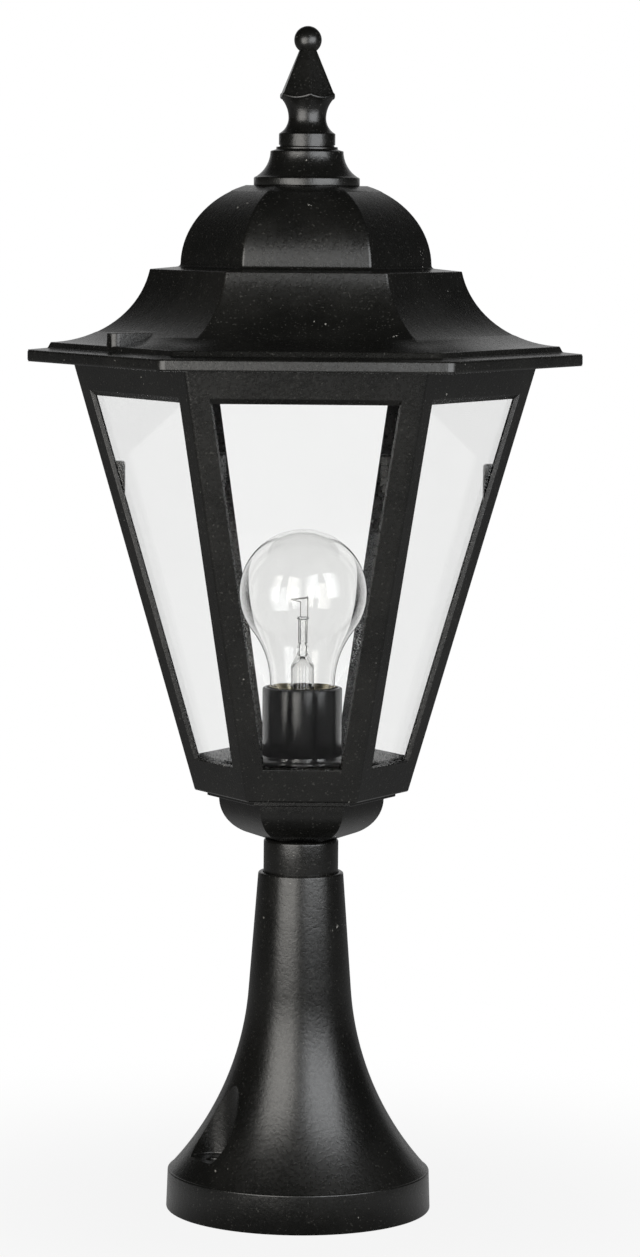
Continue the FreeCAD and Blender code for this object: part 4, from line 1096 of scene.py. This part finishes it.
def roof_outside(r, at):
    """Eave, step, hollow skirt, ledge and dome, closed on the axis."""
    draw = Outline(0, at.foot).line(r.eave_apothem - r.eave_round, at.foot)
    draw.quarter((r.eave_apothem, at.foot + r.eave_round), (r.eave_apothem, at.foot), 5)
    draw.line(r.eave_apothem, at.eave_top - r.eave_round)
    draw.quarter((r.eave_apothem - r.eave_round, at.eave_top), (r.eave_apothem, at.eave_top), 5)
    draw.line(r.step_apothem, at.step).line(*at.skirt_foot)
    draw.arc(at.skirt_head, at.skirt_centre, 20)
    draw.line(r.dome_foot + r.dome_foot_round, at.ledge)
    draw.quarter(at.dome_foot, (r.dome_foot, at.ledge), 4)
    draw.arc(at.dome_head, at.dome_centre, 20)
    draw.line(0, at.dome_head[1])
    return draw.soften(r.fine_round).six_sided()


def roof_hollow(r, at):
    """Space under the roof, with the rebate for the cage's flange."""
    skirt = r.skirt_radius + r.wall
    dome = r.dome_radius - r.wall
    below = at.foot - SPARE
    under_skirt = (at.mouth, at.skirt_centre[1] - math.sqrt(skirt ** 2 - (at.skirt_centre[0] - at.mouth) ** 2))
    ledge = at.skirt_head[1] - r.wall
    under_ledge = (at.skirt_centre[0] - math.sqrt(skirt ** 2 - (at.skirt_centre[1] - ledge) ** 2), ledge)
    dome_low = at.dome_centre[0] + math.sqrt(dome ** 2 - (at.dome_foot[1] - at.dome_centre[1]) ** 2)
    ceiling = at.dome_head[1] - r.wall
    dome_high = at.dome_centre[0] + math.sqrt(dome ** 2 - (ceiling - at.dome_centre[1]) ** 2)
    draw = Outline(0, below).line(at.rebate, below).line(at.rebate, at.seat).line(at.mouth, at.seat)
    draw.line(*under_skirt)
    draw.arc(under_ledge, at.skirt_centre, 14)
    draw.line(dome_low, ledge).line(dome_low, at.dome_foot[1])
    draw.arc((dome_high, ceiling), at.dome_centre, 12)
    draw.line(0, ceiling)
    return draw.six_sided()


def roof_boss(r, at, angle):
    """Screw boss with a round nose that runs back into the skirt."""
    bm = bmesh.new()
    top = at.skirt_foot[1] + r.boss_rise
    bmesh.ops.create_cone(
        bm, cap_ends=True, segments=40, radius1=r.boss_radius, radius2=r.boss_radius * 0.97,
        depth=top - at.seat, matrix=Matrix.Translation((r.boss_reach, 0, (top + at.seat) / 2)),
    )
    back = [vert for vert in bm.verts if vert.co.x < r.boss_reach - 0.01 * MM]
    bmesh.ops.translate(bm, vec=(r.skirt_top - r.boss_reach, 0, 0), verts=back)
    rounded(bm, r.fine_round, 60, lambda edge: min(vert.co.z for vert in edge.verts) > top - 0.1 * MM)
    return turn_about_axis(bm, angle)


class LAMP_OT_roof(bpy.types.Operator):
    """Models the ogee roof with its eave, step, dome and screw bosses"""

    bl_idname = "lamp.roof"
    bl_label = "Roof"

    def execute(self, context):
        r = context.scene.lamp_roof
        at = RoofHeights(r, context.scene.lamp_cage)

        def on_ridge(edge):
            first, second = (vert.co.xy for vert in edge.verts)
            return first.length > 20 * MM and second.length > 20 * MM and first.angle(second) < 0.01

        def on_eave(edge):
            inmost = min(vert.co.xy.length for vert in edge.verts)
            return on_ridge(edge) and inmost > (r.step_apothem + 2 * MM) / HEX_COS

        roof = rounded(roof_outside(r, at), r.eave_corner * HEX_TAN, 28, on_eave, 6)
        rounded(roof, r.ridge, 28, on_ridge, 4)
        for angle in pocket_angles():
            roof = carved(roof, roof_boss(r, at, angle), "UNION")
        roof = carved(roof, roof_hollow(r, at))
        piece("roof_casting", roof, powder_coat(), "lamp", "powder_coat", "roof", weighted=True)
        return {"FINISHED"}


def finial_profile(n):
    """Heights of the finial's mouldings, from the cove over its base to the narrowest place of its waist."""
    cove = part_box("finial")[0].z + n.base_edge + n.base_lip
    step = cove + n.cove_height
    groove = step + n.step_height
    band = groove + n.groove
    waist = band + n.band_height
    return cove, step, groove, band, waist, waist + cove_rise(n, n.waist_cove)


def cove_rise(n, cove):
    """Height over which a cove widens from the waist to the band's radius."""
    overhang = cove - (n.band_radius - n.waist_radius)
    return math.sqrt(cove ** 2 - overhang ** 2)


def finial_base(n):
    """Turned lower part of the finial, up to the middle of the waist."""
    cove, step, groove, band, waist, narrowest = finial_profile(n)
    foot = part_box("finial")[0].z
    lip = (n.base_radius - n.base_lip, cove)
    cove_top = (n.cove_top, step)
    draw = Outline(0, foot).line(n.base_radius, foot).line(n.base_radius, foot + n.base_edge)
    draw.quarter(lip, (n.base_radius, cove), 4)
    draw.arc(cove_top, arc_centre(lip, cove_top, n.cove_radius, True), 14)
    draw.line(n.ring_radius, groove).line(n.ring_radius, groove + n.ring_height)
    draw.line(n.groove_radius, groove + n.ring_height).line(n.groove_radius, band)
    draw.line(n.band_radius, band).line(n.band_radius, waist)
    draw.arc((n.waist_radius, narrowest), (n.waist_radius + n.waist_cove, narrowest), 10)
    draw.line(n.waist_radius, narrowest + 0.2 * MM).line(0, narrowest + 0.2 * MM)
    return draw.soften(n.fine_round).turned(96)


def finial_spire(n):
    """Six-sided spire, one corner in front, whose lower edges are scalloped by the round waist."""
    centre = (n.waist_radius + n.spire_cove, finial_profile(n)[5])
    high = (n.band_radius, centre[1] + cove_rise(n, n.spire_cove))
    tip = high[1] + n.spire_height
    wide = 2 * n.band_radius
    draw = Outline(0, centre[1]).line(n.waist_radius, centre[1])
    draw.arc(high, centre, 10)
    draw.line(wide, high[1] + n.band_radius).line(wide, tip + 1 * MM).line(0, tip + 1 * MM)
    slope = (n.spire_corner - n.spire_tip) / n.spire_height
    low = centre[1] - 1 * MM
    spike = bmesh.new()
    bmesh.ops.create_cone(
        spike, cap_ends=True, segments=6, radius1=n.spire_tip + (tip - low) * slope, radius2=n.spire_tip,
        depth=tip - low, matrix=Matrix.Translation((0, 0, (tip + low) / 2)),
    )
    spike.verts.ensure_lookup_table()
    first = spike.verts[0].co
    turn_about_axis(spike, n.spire_turn - math.radians(90) - math.atan2(first.y, first.x))

    def on_ridge(edge):
        return abs(edge.verts[0].co.z - edge.verts[1].co.z) > n.spire_height / 2

    def on_lip(edge):
        first, second = (vert.co.z for vert in edge.verts)
        low_enough = centre[1] + 2 * MM < first < high[1] + 1 * MM and second < high[1] + 1 * MM
        return low_enough and edge.calc_face_angle_signed(0) > math.radians(35)

    spire = rounded(carved(draw.turned(96), spike, "INTERSECT"), n.edge_round, 30, on_ridge)
    spire.normal_update()
    beads = []
    for edge in filter(on_lip, spire.edges):
        outward = (edge.link_faces[0].normal + edge.link_faces[1].normal).normalized()
        ends = [vert.co - n.lip_sink * n.lip_round * outward for vert in edge.verts]
        beads.append(tube(*ends, n.lip_round, 20))
    return joined(spire, *beads), tip


class LAMP_OT_finial(bpy.types.Operator):
    """Models the finial: turned base, scalloped spire and ball"""

    bl_idname = "lamp.finial"
    bl_label = "Finial"

    def execute(self, context):
        n = context.scene.lamp_finial
        spire, tip = finial_spire(n)
        ball = bmesh.new()
        rise = tip + math.sqrt(n.ball_radius ** 2 - (n.spire_tip * HEX_COS) ** 2)
        place = Matrix.Translation((0, 0, rise))
        bmesh.ops.create_uvsphere(ball, u_segments=48, v_segments=24, radius=n.ball_radius, matrix=place)
        finial = joined(finial_base(n), spire, ball)
        piece("finial_casting", finial, powder_coat(), "lamp", "powder_coat", "finial")
        return {"FINISHED"}


# Lampholder and bulb


def rolled_thread(outer, depth, low, high, pitch, wall):
    """Thin sleeve with a rolled screw thread."""
    draw = Outline(outer - depth, low)
    for share, inset in ((0.25, depth / 2), (0.5, 0.0), (0.75, depth / 2), (1.0, depth)):
        draw.line(outer - inset, low + share * pitch)
    bm = draw.bm
    turns = (high - low - pitch) / pitch
    steps = int(turns * 40)
    bmesh.ops.spin(
        bm, geom=bm.verts[:] + bm.edges[:], cent=(0, 0, 0), axis=UP, angle=math.tau * turns, steps=steps,
        dvec=(0, 0, turns * pitch / steps),
    )
    sealed(bm)
    bmesh.ops.solidify(bm, geom=bm.faces[:], thickness=wall)
    return sealed(bm)


class LAMP_OT_lampholder(bpy.types.Operator):
    """Models the lampholder: beaded base, sleeve and threaded brass shell"""

    bl_idname = "lamp.lampholder"
    bl_label = "Lampholder"

    def execute(self, context):
        h = context.scene.lamp_holder
        low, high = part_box("holder_base")
        spigot = h.sleeve_radius - h.sleeve_wall - h.spigot_gap
        bore = spigot - h.sleeve_wall
        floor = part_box("holder_insert")[0].z
        draw = Outline(h.rod_radius, low.z).line(h.base_radius - h.edge_round, low.z)
        draw.quarter((h.base_radius, low.z + h.edge_round), (h.base_radius, low.z), 4)
        draw.line(h.base_radius, h.base_ledge - h.bead_height)
        draw.quarter((h.base_radius - h.bead_round, h.base_ledge), (h.base_radius, h.base_ledge), 6)
        draw.line(spigot, h.base_ledge).line(spigot, high.z).line(bore, high.z)
        draw.line(bore, floor).line(h.rod_radius, floor).close()
        piece("lampholder_base", draw.turned(96), holder_plastic(), "lamp", "holder_plastic", "holder_base")

        low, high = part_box("holder_skirt")
        inner = h.sleeve_radius - h.sleeve_wall
        draw = Outline(inner, low.z).line(h.sleeve_radius, low.z).line(h.sleeve_radius, high.z - h.edge_round)
        draw.quarter((h.sleeve_radius - h.edge_round, high.z), (h.sleeve_radius, high.z), 6)
        draw.line(inner, high.z).close().soften(h.sleeve_fine)
        piece("lampholder_sleeve", draw.turned(96), holder_plastic(), "lamp", "holder_plastic", "holder_skirt")

        low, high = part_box("holder_thread_shell")
        outer = h.shell_radius + h.shell_wall
        shell = rolled_thread(outer, h.shell_roll, low.z, high.z, h.thread_pitch, h.shell_sheet)
        piece("brass_thread_shell", shell, contact_brass(), "lamp", "contact_brass", "holder_thread_shell")
        dress(holder_ceramic(), "holder_insert")
        dress(contact_brass(), "centre_contact")
        return {"FINISHED"}


def globe_profile(b, inset):
    """Points and centres of the bulb's glass, outside or one wall in."""
    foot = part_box("bulb_glass")[0].z
    neck = foot + b.neck_rise
    centre = foot + b.centre_rise
    rise = b.centre_rise - b.neck_rise
    sweep = (b.neck_radius ** 2 + rise ** 2 - b.radius ** 2) / (2 * (b.radius - b.neck_radius))
    sweep_centre = (b.neck_radius + sweep, neck)
    share = (b.radius - inset) / (b.radius + sweep)
    meet = (sweep_centre[0] * share, centre - rise * share)
    return foot, (b.neck_radius - inset, neck), meet, sweep_centre, centre


def tube(start, end, radius, segments=8):
    """Round rod between two points."""
    bm = bmesh.new()
    run = end - start
    place = Matrix.Translation((start + end) / 2) @ run.to_track_quat("Z", "Y").to_matrix().to_4x4()
    bmesh.ops.create_cone(
        bm, cap_ends=True, segments=segments, radius1=radius, radius2=radius, depth=run.length, matrix=place
    )
    return bm


def coil(start, end, radius, wire, turns):
    """Coiled wire between two points."""
    run = (end - start).length
    bm = bmesh.new()
    section = Matrix.Translation((radius, 0, 0)) @ Matrix.Rotation(math.radians(90), 4, "X")
    bmesh.ops.create_circle(bm, segments=6, radius=wire, matrix=section)
    steps = turns * 10
    bmesh.ops.spin(
        bm, geom=bm.verts[:] + bm.edges[:], cent=(0, 0, 0), axis=UP, angle=math.tau * turns, steps=steps,
        dvec=(0, 0, run / steps),
    )
    bmesh.ops.holes_fill(bm, edges=bm.edges)
    place = Matrix.Translation(start) @ (end - start).to_track_quat("Z", "Y").to_matrix().to_4x4()
    bmesh.ops.transform(bm, matrix=place, verts=bm.verts)
    return sealed(bm)


def screw_cap(b, foot, pitch):
    """Threaded cap with a narrower end and a flared crown round the foot of the glass."""
    low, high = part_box("bulb_cap")
    shoulder = low.z + (b.cap_radius - b.insulator_radius) / 2
    inner = b.cap_radius - b.thread_depth
    sleeve = rolled_thread(b.cap_radius, b.thread_depth, shoulder, high.z, pitch, b.cap_wall)
    end = Outline(b.insulator_radius, low.z).line(inner, shoulder).line(inner, shoulder + 0.4 * pitch)
    end.line(b.cap_radius - 2 * b.thread_depth, shoulder + 0.4 * pitch)
    end.line(b.insulator_radius - b.cap_wall, low.z + b.cap_wall).close()
    rim = foot + b.crown_rise
    crown = Outline(inner, high.z - 0.9 * pitch).line(b.cap_radius, high.z - 0.6 * pitch)
    crown.line(b.cap_radius + b.cap_wall, foot).line(b.crown_radius, rim).line(b.crown_radius - b.cap_wall, rim)
    crown.line(b.cap_radius + 0.1 * MM, foot).line(b.cap_radius - b.cap_wall, high.z - 0.5 * pitch)
    crown.line(b.cap_radius - 1.6 * b.thread_depth, high.z - 0.9 * pitch).close()
    return joined(sleeve, end.turned(72), crown.turned(72))


def glass_stem(b, foot):
    """Stem inside the globe: hollow flare, pinch, rod and button."""
    flare = foot + b.stem_flare
    low_pinch = foot + b.pinch_low
    pinch = foot + b.pinch_rise
    rod_top = pinch + b.rod_height
    rim = b.cap_radius - b.wall - 0.1 * MM
    draw = Outline(0, low_pinch - b.stem_wall).line(0.5 * b.stem_pinch, low_pinch - 1.4 * b.stem_wall)
    draw.line(b.stem_foot - b.stem_wall, flare - b.stem_wall).line(b.stem_foot - b.stem_wall, foot)
    draw.line(rim, foot).line(rim, foot + b.stem_wall).line(b.stem_foot, foot + 2 * b.stem_wall)
    draw.line(b.stem_foot, flare).line(b.stem_pinch, low_pinch).line(0.86 * b.stem_pinch, (low_pinch + pinch) / 2)
    draw.line(b.stem_pinch, pinch - b.stem_rod).line(b.stem_rod, pinch).line(b.stem_rod, rod_top)
    draw.line(b.button_radius, rod_top + 0.2 * b.button_height)
    draw.line(b.button_radius, rod_top + 0.8 * b.button_height)
    draw.line(0.6 * b.button_radius, rod_top + b.button_height).line(0, rod_top + b.button_height)
    return draw.soften(b.stem_round, 12).turned(48)


def leads_and_filament(b, foot):
    """Bent lead and straight lead beside the stem's rod, and the coil between their ends."""
    pinch = foot + b.pinch_rise
    rod_top = pinch + b.rod_height
    button = rod_top + b.button_height
    beside = b.stem_rod + b.lead_radius
    level = foot + b.lead_height
    bent = [(-beside, pinch), (-beside, rod_top), (-b.lead_near, button), (-b.lead_near, level - MM)]
    bent.append((-b.lead_reach, level))
    straight = [(beside, pinch), (beside, rod_top), (b.lead_far, button), (b.lead_far, level + 1.6 * MM)]
    leads = []
    for run in (bent, straight):
        points = [Vector((x, 0, z)) for x, z in run]
        leads += [tube(near, far, b.lead_radius) for near, far in zip(points, points[1:])]
    ends = Vector((-b.lead_reach, 0, level)), Vector((b.lead_far, 0, level + MM))
    return joined(bmesh.new(), *leads), coil(*ends, b.coil_radius, b.coil_wire, b.coil_turns)


class LAMP_OT_bulb(bpy.types.Operator):
    """Models the clear bulb: glass, cap, stem, leads and filament"""

    bl_idname = "lamp.bulb"
    bl_label = "Bulb"

    def execute(self, context):
        b = context.scene.lamp_bulb
        foot, neck, meet, sweep_centre, centre = globe_profile(b, 0.0)
        draw = Outline(0, centre + b.radius).arc(meet, (0, centre), 44).arc(neck, sweep_centre, 16)
        draw.line(b.cap_radius, foot).line(b.cap_radius - b.wall, foot)
        _, neck, meet, _, _ = globe_profile(b, b.wall)
        draw.line(*neck).arc(meet, sweep_centre, 16).arc((0, centre + b.radius - b.wall), (0, centre), 44)
        piece("bulb_globe", draw.turned(112), bulb_glass(), "bulb", "bulb_clear_glass", "bulb_glass")

        cap = screw_cap(b, foot, context.scene.lamp_holder.thread_pitch)
        piece("bulb_screw_cap", cap, cap_metal(), "bulb", "cap_metal", "bulb_cap")
        dress(cap_insulator(), "bulb_insulator")
        dress(cap_metal(), "bulb_contact")

        stem = glass_stem(b, foot)
        piece("bulb_stem_glass", stem, bulb_glass(), "bulb", "bulb_clear_glass", "bulb_stem", crease=60)
        leads, filament = leads_and_filament(b, foot)
        piece("bulb_leads", leads, filament_wire(), "bulb", "filament_wire", "bulb_lead_wires")
        piece("bulb_filament_coil", filament, filament_wire(), "bulb", "filament_wire", "bulb_filament")
        return {"FINISHED"}


class LAMP_OT_fittings(bpy.types.Operator):
    """Gives the rod, nuts, screws, bracket, terminal block and wires their finishes"""

    bl_idname = "lamp.fittings"
    bl_label = "Fittings and wiring"

    def execute(self, context):
        f = context.scene.lamp_finish
        dress(
            zinc_steel(), "roof_screws", "finial_washer", "finial_bolt", "threaded_rod", "rod_top_nut",
            "rod_bottom_washer", "rod_bottom_nut", "terminal_bracket", "terminal_screws", "block_screw", "earth_screw",
        )
        dress(block_nylon(), "terminal_block")
        dress(insulation("wire_brown", f.brown_wire), "live_wire")
        dress(insulation("wire_blue", f.blue_wire), "neutral_wire")
        dress(insulation("wire_green", f.green_wire, f.yellow_stripe), "earth_wire")
        return {"FINISHED"}


# Studio


# How light fades: a range of the measured value, then the shares at its two ends
SOFTBOX_ACROSS = (0.0, 0.3, 0.0, 1.0)
SOFTBOX_ALONG = (0.0, 0.12, 0.0, 1.0)
WORLD_MIRRORED = (0.72, 1.0, 0.0, 0.65)
WORLD_THROUGH = (-0.1, 0.5, 0.0, 1.0)
FLOOR_MIRRORED_PAINTED_SHADOW = (0.04, 0.16, 0.02, 0.46)
FLOOR_MIRRORED_FAR = (0.12, 0.55, 1.0, 0.33)
FLOOR_THROUGH = (0.0, 0.3, 0.06, 1.0)
FLOOR_SHADOW = (0.06, 0.4, 0.9, 1.0)
# Middle of the painted shadow that darkens the floor's reflections in front of the foot
PAINTED_SHADOW_MIDDLE = (0, -0.11, 0)


def softbox(s, side):
    """Large soft light at one side that faces the lamp's axis, fades toward its edges and isn't seen by the camera."""
    data = bpy.data.lights.new(side + "_softbox", "AREA")
    data.shape = "RECTANGLE"
    data.size = getattr(s, side + "_width")
    data.size_y = getattr(s, side + "_length")
    data.energy = getattr(s, side + "_power")
    data.color = getattr(s, side + "_shade")
    data.use_nodes = True
    tree = data.node_tree
    split = tree.nodes.new("ShaderNodeSeparateXYZ")
    tree.links.new(tree.nodes.new("ShaderNodeNewGeometry").outputs["Parametric"], split.inputs["Vector"])
    across = smooth_share(tree, combined(tree, "PINGPONG", split.outputs["X"], 0.5), *SOFTBOX_ACROSS)
    along = smooth_share(tree, combined(tree, "PINGPONG", split.outputs["Y"], 0.5), *SOFTBOX_ALONG)
    tree.links.new(combined(tree, "MULTIPLY", across, along), tree.nodes["Emission"].inputs["Strength"])
    lamp = bpy.data.objects.new(side + "_softbox", data)
    azimuth = getattr(s, side + "_turn")
    out = Vector((math.sin(azimuth), -math.cos(azimuth), 0))
    lamp.location = out * s.light_away + UP * getattr(s, side + "_height")
    lamp.rotation_mode = "QUATERNION"
    lamp.rotation_quaternion = (-out).to_track_quat("-Z", "Y")
    lamp.visible_camera = False
    bpy.context.scene.collection.objects.link(lamp)


def seen_directly(tree, glossy, through):
    """Share of white in what a ray sees: all for the camera's rays, also through glass, and less for reflected ones."""
    path = tree.nodes.new("ShaderNodeLightPath")
    total = path.outputs["Is Camera Ray"]
    bounces = combined(tree, "ADD", path.outputs["Diffuse Depth"], path.outputs["Glossy Depth"])
    through = combined(tree, "MAXIMUM", through, combined(tree, "LESS_THAN", bounces, 0.5))
    for flag, share in (("Is Glossy Ray", glossy), ("Is Transmission Ray", through)):
        total = combined(tree, "MAXIMUM", total, combined(tree, "MULTIPLY", path.outputs[flag], share))
    return total


def white_backdrop(s):
    """World that is white behind the lamp, and dim all round as a light."""
    world = bpy.data.worlds.new("studio_world")
    world.use_nodes = True
    tree = world.node_tree
    tree.nodes.clear()
    place = tree.nodes.new("ShaderNodeTexCoord")
    split = tree.nodes.new("ShaderNodeSeparateXYZ")
    tree.links.new(place.outputs["Generated"], split.inputs["Vector"])
    mirrored = smooth_share(tree, split.outputs["Y"], *WORLD_MIRRORED)
    through = smooth_share(tree, split.outputs["Y"], *WORLD_THROUGH)
    dim = tree.nodes.new("ShaderNodeBackground")
    dim.inputs["Color"].default_value = grey(1)
    dim.inputs["Strength"].default_value = s.ambient
    white = tree.nodes.new("ShaderNodeBackground")
    white.inputs["Color"].default_value = grey(1)
    mix = tree.nodes.new("ShaderNodeMixShader")
    tree.links.new(seen_directly(tree, mirrored, through), mix.inputs["Fac"])
    tree.links.new(dim.outputs["Background"], mix.inputs[1])
    tree.links.new(white.outputs["Background"], mix.inputs[2])
    out = tree.nodes.new("ShaderNodeOutputWorld")
    tree.links.new(mix.outputs["Shader"], out.inputs["Surface"])
    bpy.context.scene.world = world


def distance_from(tree, place, point):
    """Distance of a shader's place from a point."""
    away = tree.nodes.new("ShaderNodeVectorMath")
    away.operation = "DISTANCE"
    tree.links.new(place, away.inputs[0])
    away.inputs[1].default_value = point
    return away.outputs["Value"]


def pale_floor(s):
    """Wide pale floor that runs into the white background and keeps the lamp's shadow."""
    bm = bmesh.new()
    bmesh.ops.create_grid(bm, x_segments=1, y_segments=1, size=s.floor_size / 2)
    mesh = bpy.data.meshes.new("studio_floor")
    bm.to_mesh(mesh)
    bm.free()
    floor = bpy.data.objects.new("studio_floor", mesh)
    floor.location.z = -s.floor_drop
    bpy.context.scene.collection.objects.link(floor)
    material = bpy.data.materials.new("floor_paper")
    material.use_nodes = True
    tree = material.node_tree
    paper = tree.nodes["Principled BSDF"]
    paper.inputs["Base Color"].default_value = (*s.floor_colour, 1)
    paper.inputs["Roughness"].default_value = 0.9
    paper.inputs["Specular IOR Level"].default_value = 0.0
    glow = tree.nodes.new("ShaderNodeEmission")
    place = tree.nodes.new("ShaderNodeTexCoord").outputs["Object"]
    split = tree.nodes.new("ShaderNodeSeparateXYZ")
    tree.links.new(place, split.inputs["Vector"])
    from_axis = distance_from(tree, place, (0, 0, 0))
    # In reflections the floor glows fully a little way off the axis and fades to a third far off; a painted shadow
    # darkens it in front of the foot
    near = smooth_share(tree, distance_from(tree, place, PAINTED_SHADOW_MIDDLE), *FLOOR_MIRRORED_PAINTED_SHADOW)
    mirrored = combined(tree, "MULTIPLY", near, smooth_share(tree, from_axis, *FLOOR_MIRRORED_FAR))
    through = smooth_share(tree, split.outputs["Y"], *FLOOR_THROUGH)
    shadow = smooth_share(tree, from_axis, *FLOOR_SHADOW)
    mix = tree.nodes.new("ShaderNodeMixShader")
    tree.links.new(combined(tree, "MULTIPLY", seen_directly(tree, mirrored, through), shadow), mix.inputs["Fac"])
    tree.links.new(paper.outputs["BSDF"], mix.inputs[1])
    tree.links.new(glow.outputs["Emission"], mix.inputs[2])
    tree.links.new(mix.outputs["Shader"], tree.nodes["Material Output"].inputs["Surface"])
    mesh.materials.append(material)


class LAMP_OT_studio(bpy.types.Operator):
    """Sets up the camera, the pale floor and the soft lights"""

    bl_idname = "lamp.studio"
    bl_label = "Studio"

    def execute(self, context):
        s = context.scene.lamp_studio
        scene = context.scene
        scene.view_settings.view_transform = "Standard"
        pale_floor(s)
        white_backdrop(s)
        softbox(s, "left")
        softbox(s, "right")
        data = bpy.data.cameras.new("photo_camera")
        data.lens = s.camera_lens
        camera = bpy.data.objects.new("photo_camera", data)
        place = Matrix.Translation((s.camera_side, -s.camera_away, s.camera_height))
        level = Matrix.Rotation(-s.camera_turn, 4, "Z") @ Matrix.Rotation(math.radians(90) - s.camera_pitch, 4, "X")
        camera.matrix_world = place @ level @ Matrix.Rotation(s.camera_roll, 4, "Z")
        scene.collection.objects.link(camera)
        scene.camera = camera
        return {"FINISHED"}


class LAMP_PT_builder(bpy.types.Panel):
    """Lists the steps that build the lamp"""

    bl_idname = "LAMP_PT_builder"
    bl_label = "Garden Pedestal Lamp"
    bl_space_type = "VIEW_3D"
    bl_region_type = "UI"
    bl_category = "Lamp"

    def draw(self, context):
        for step in STEPS:
            self.layout.operator(step.bl_idname)


STEPS = (
    LAMP_OT_studio,
    LAMP_OT_pedestal,
    LAMP_OT_neck_collar,
    LAMP_OT_lower_bowl,
    LAMP_OT_lantern_cage,
    LAMP_OT_panes,
    LAMP_OT_roof,
    LAMP_OT_finial,
    LAMP_OT_lampholder,
    LAMP_OT_bulb,
    LAMP_OT_fittings,
)
SETTINGS = {
    "lamp_pedestal": PedestalSizes,
    "lamp_bowl": BowlSizes,
    "lamp_cage": CageSizes,
    "lamp_roof": RoofSizes,
    "lamp_finial": FinialSizes,
    "lamp_holder": HolderSizes,
    "lamp_bulb": BulbSizes,
    "lamp_finish": FinishSettings,
    "lamp_studio": StudioSettings,
}


def register():
    for name, group in SETTINGS.items():
        bpy.utils.register_class(group)
        setattr(bpy.types.Scene, name, PointerProperty(type=group))
    for step in STEPS:
        bpy.utils.register_class(step)
    bpy.utils.register_class(LAMP_PT_builder)


def unregister():
    bpy.utils.unregister_class(LAMP_PT_builder)
    for step in reversed(STEPS):
        bpy.utils.unregister_class(step)
    for name, group in SETTINGS.items():
        delattr(bpy.types.Scene, name)
        bpy.utils.unregister_class(group)


def main():
    register()
    bpy.ops.lamp.studio()
    bpy.ops.lamp.pedestal()
    bpy.ops.lamp.neck_collar()
    bpy.ops.lamp.lower_bowl()
    bpy.ops.lamp.lantern_cage()
    bpy.ops.lamp.panes()
    bpy.ops.lamp.roof()
    bpy.ops.lamp.finial()
    bpy.ops.lamp.lampholder()
    bpy.ops.lamp.bulb()
    bpy.ops.lamp.fittings()
    bpy.context.view_layer.update()


if __name__ == "__main__":
    main()
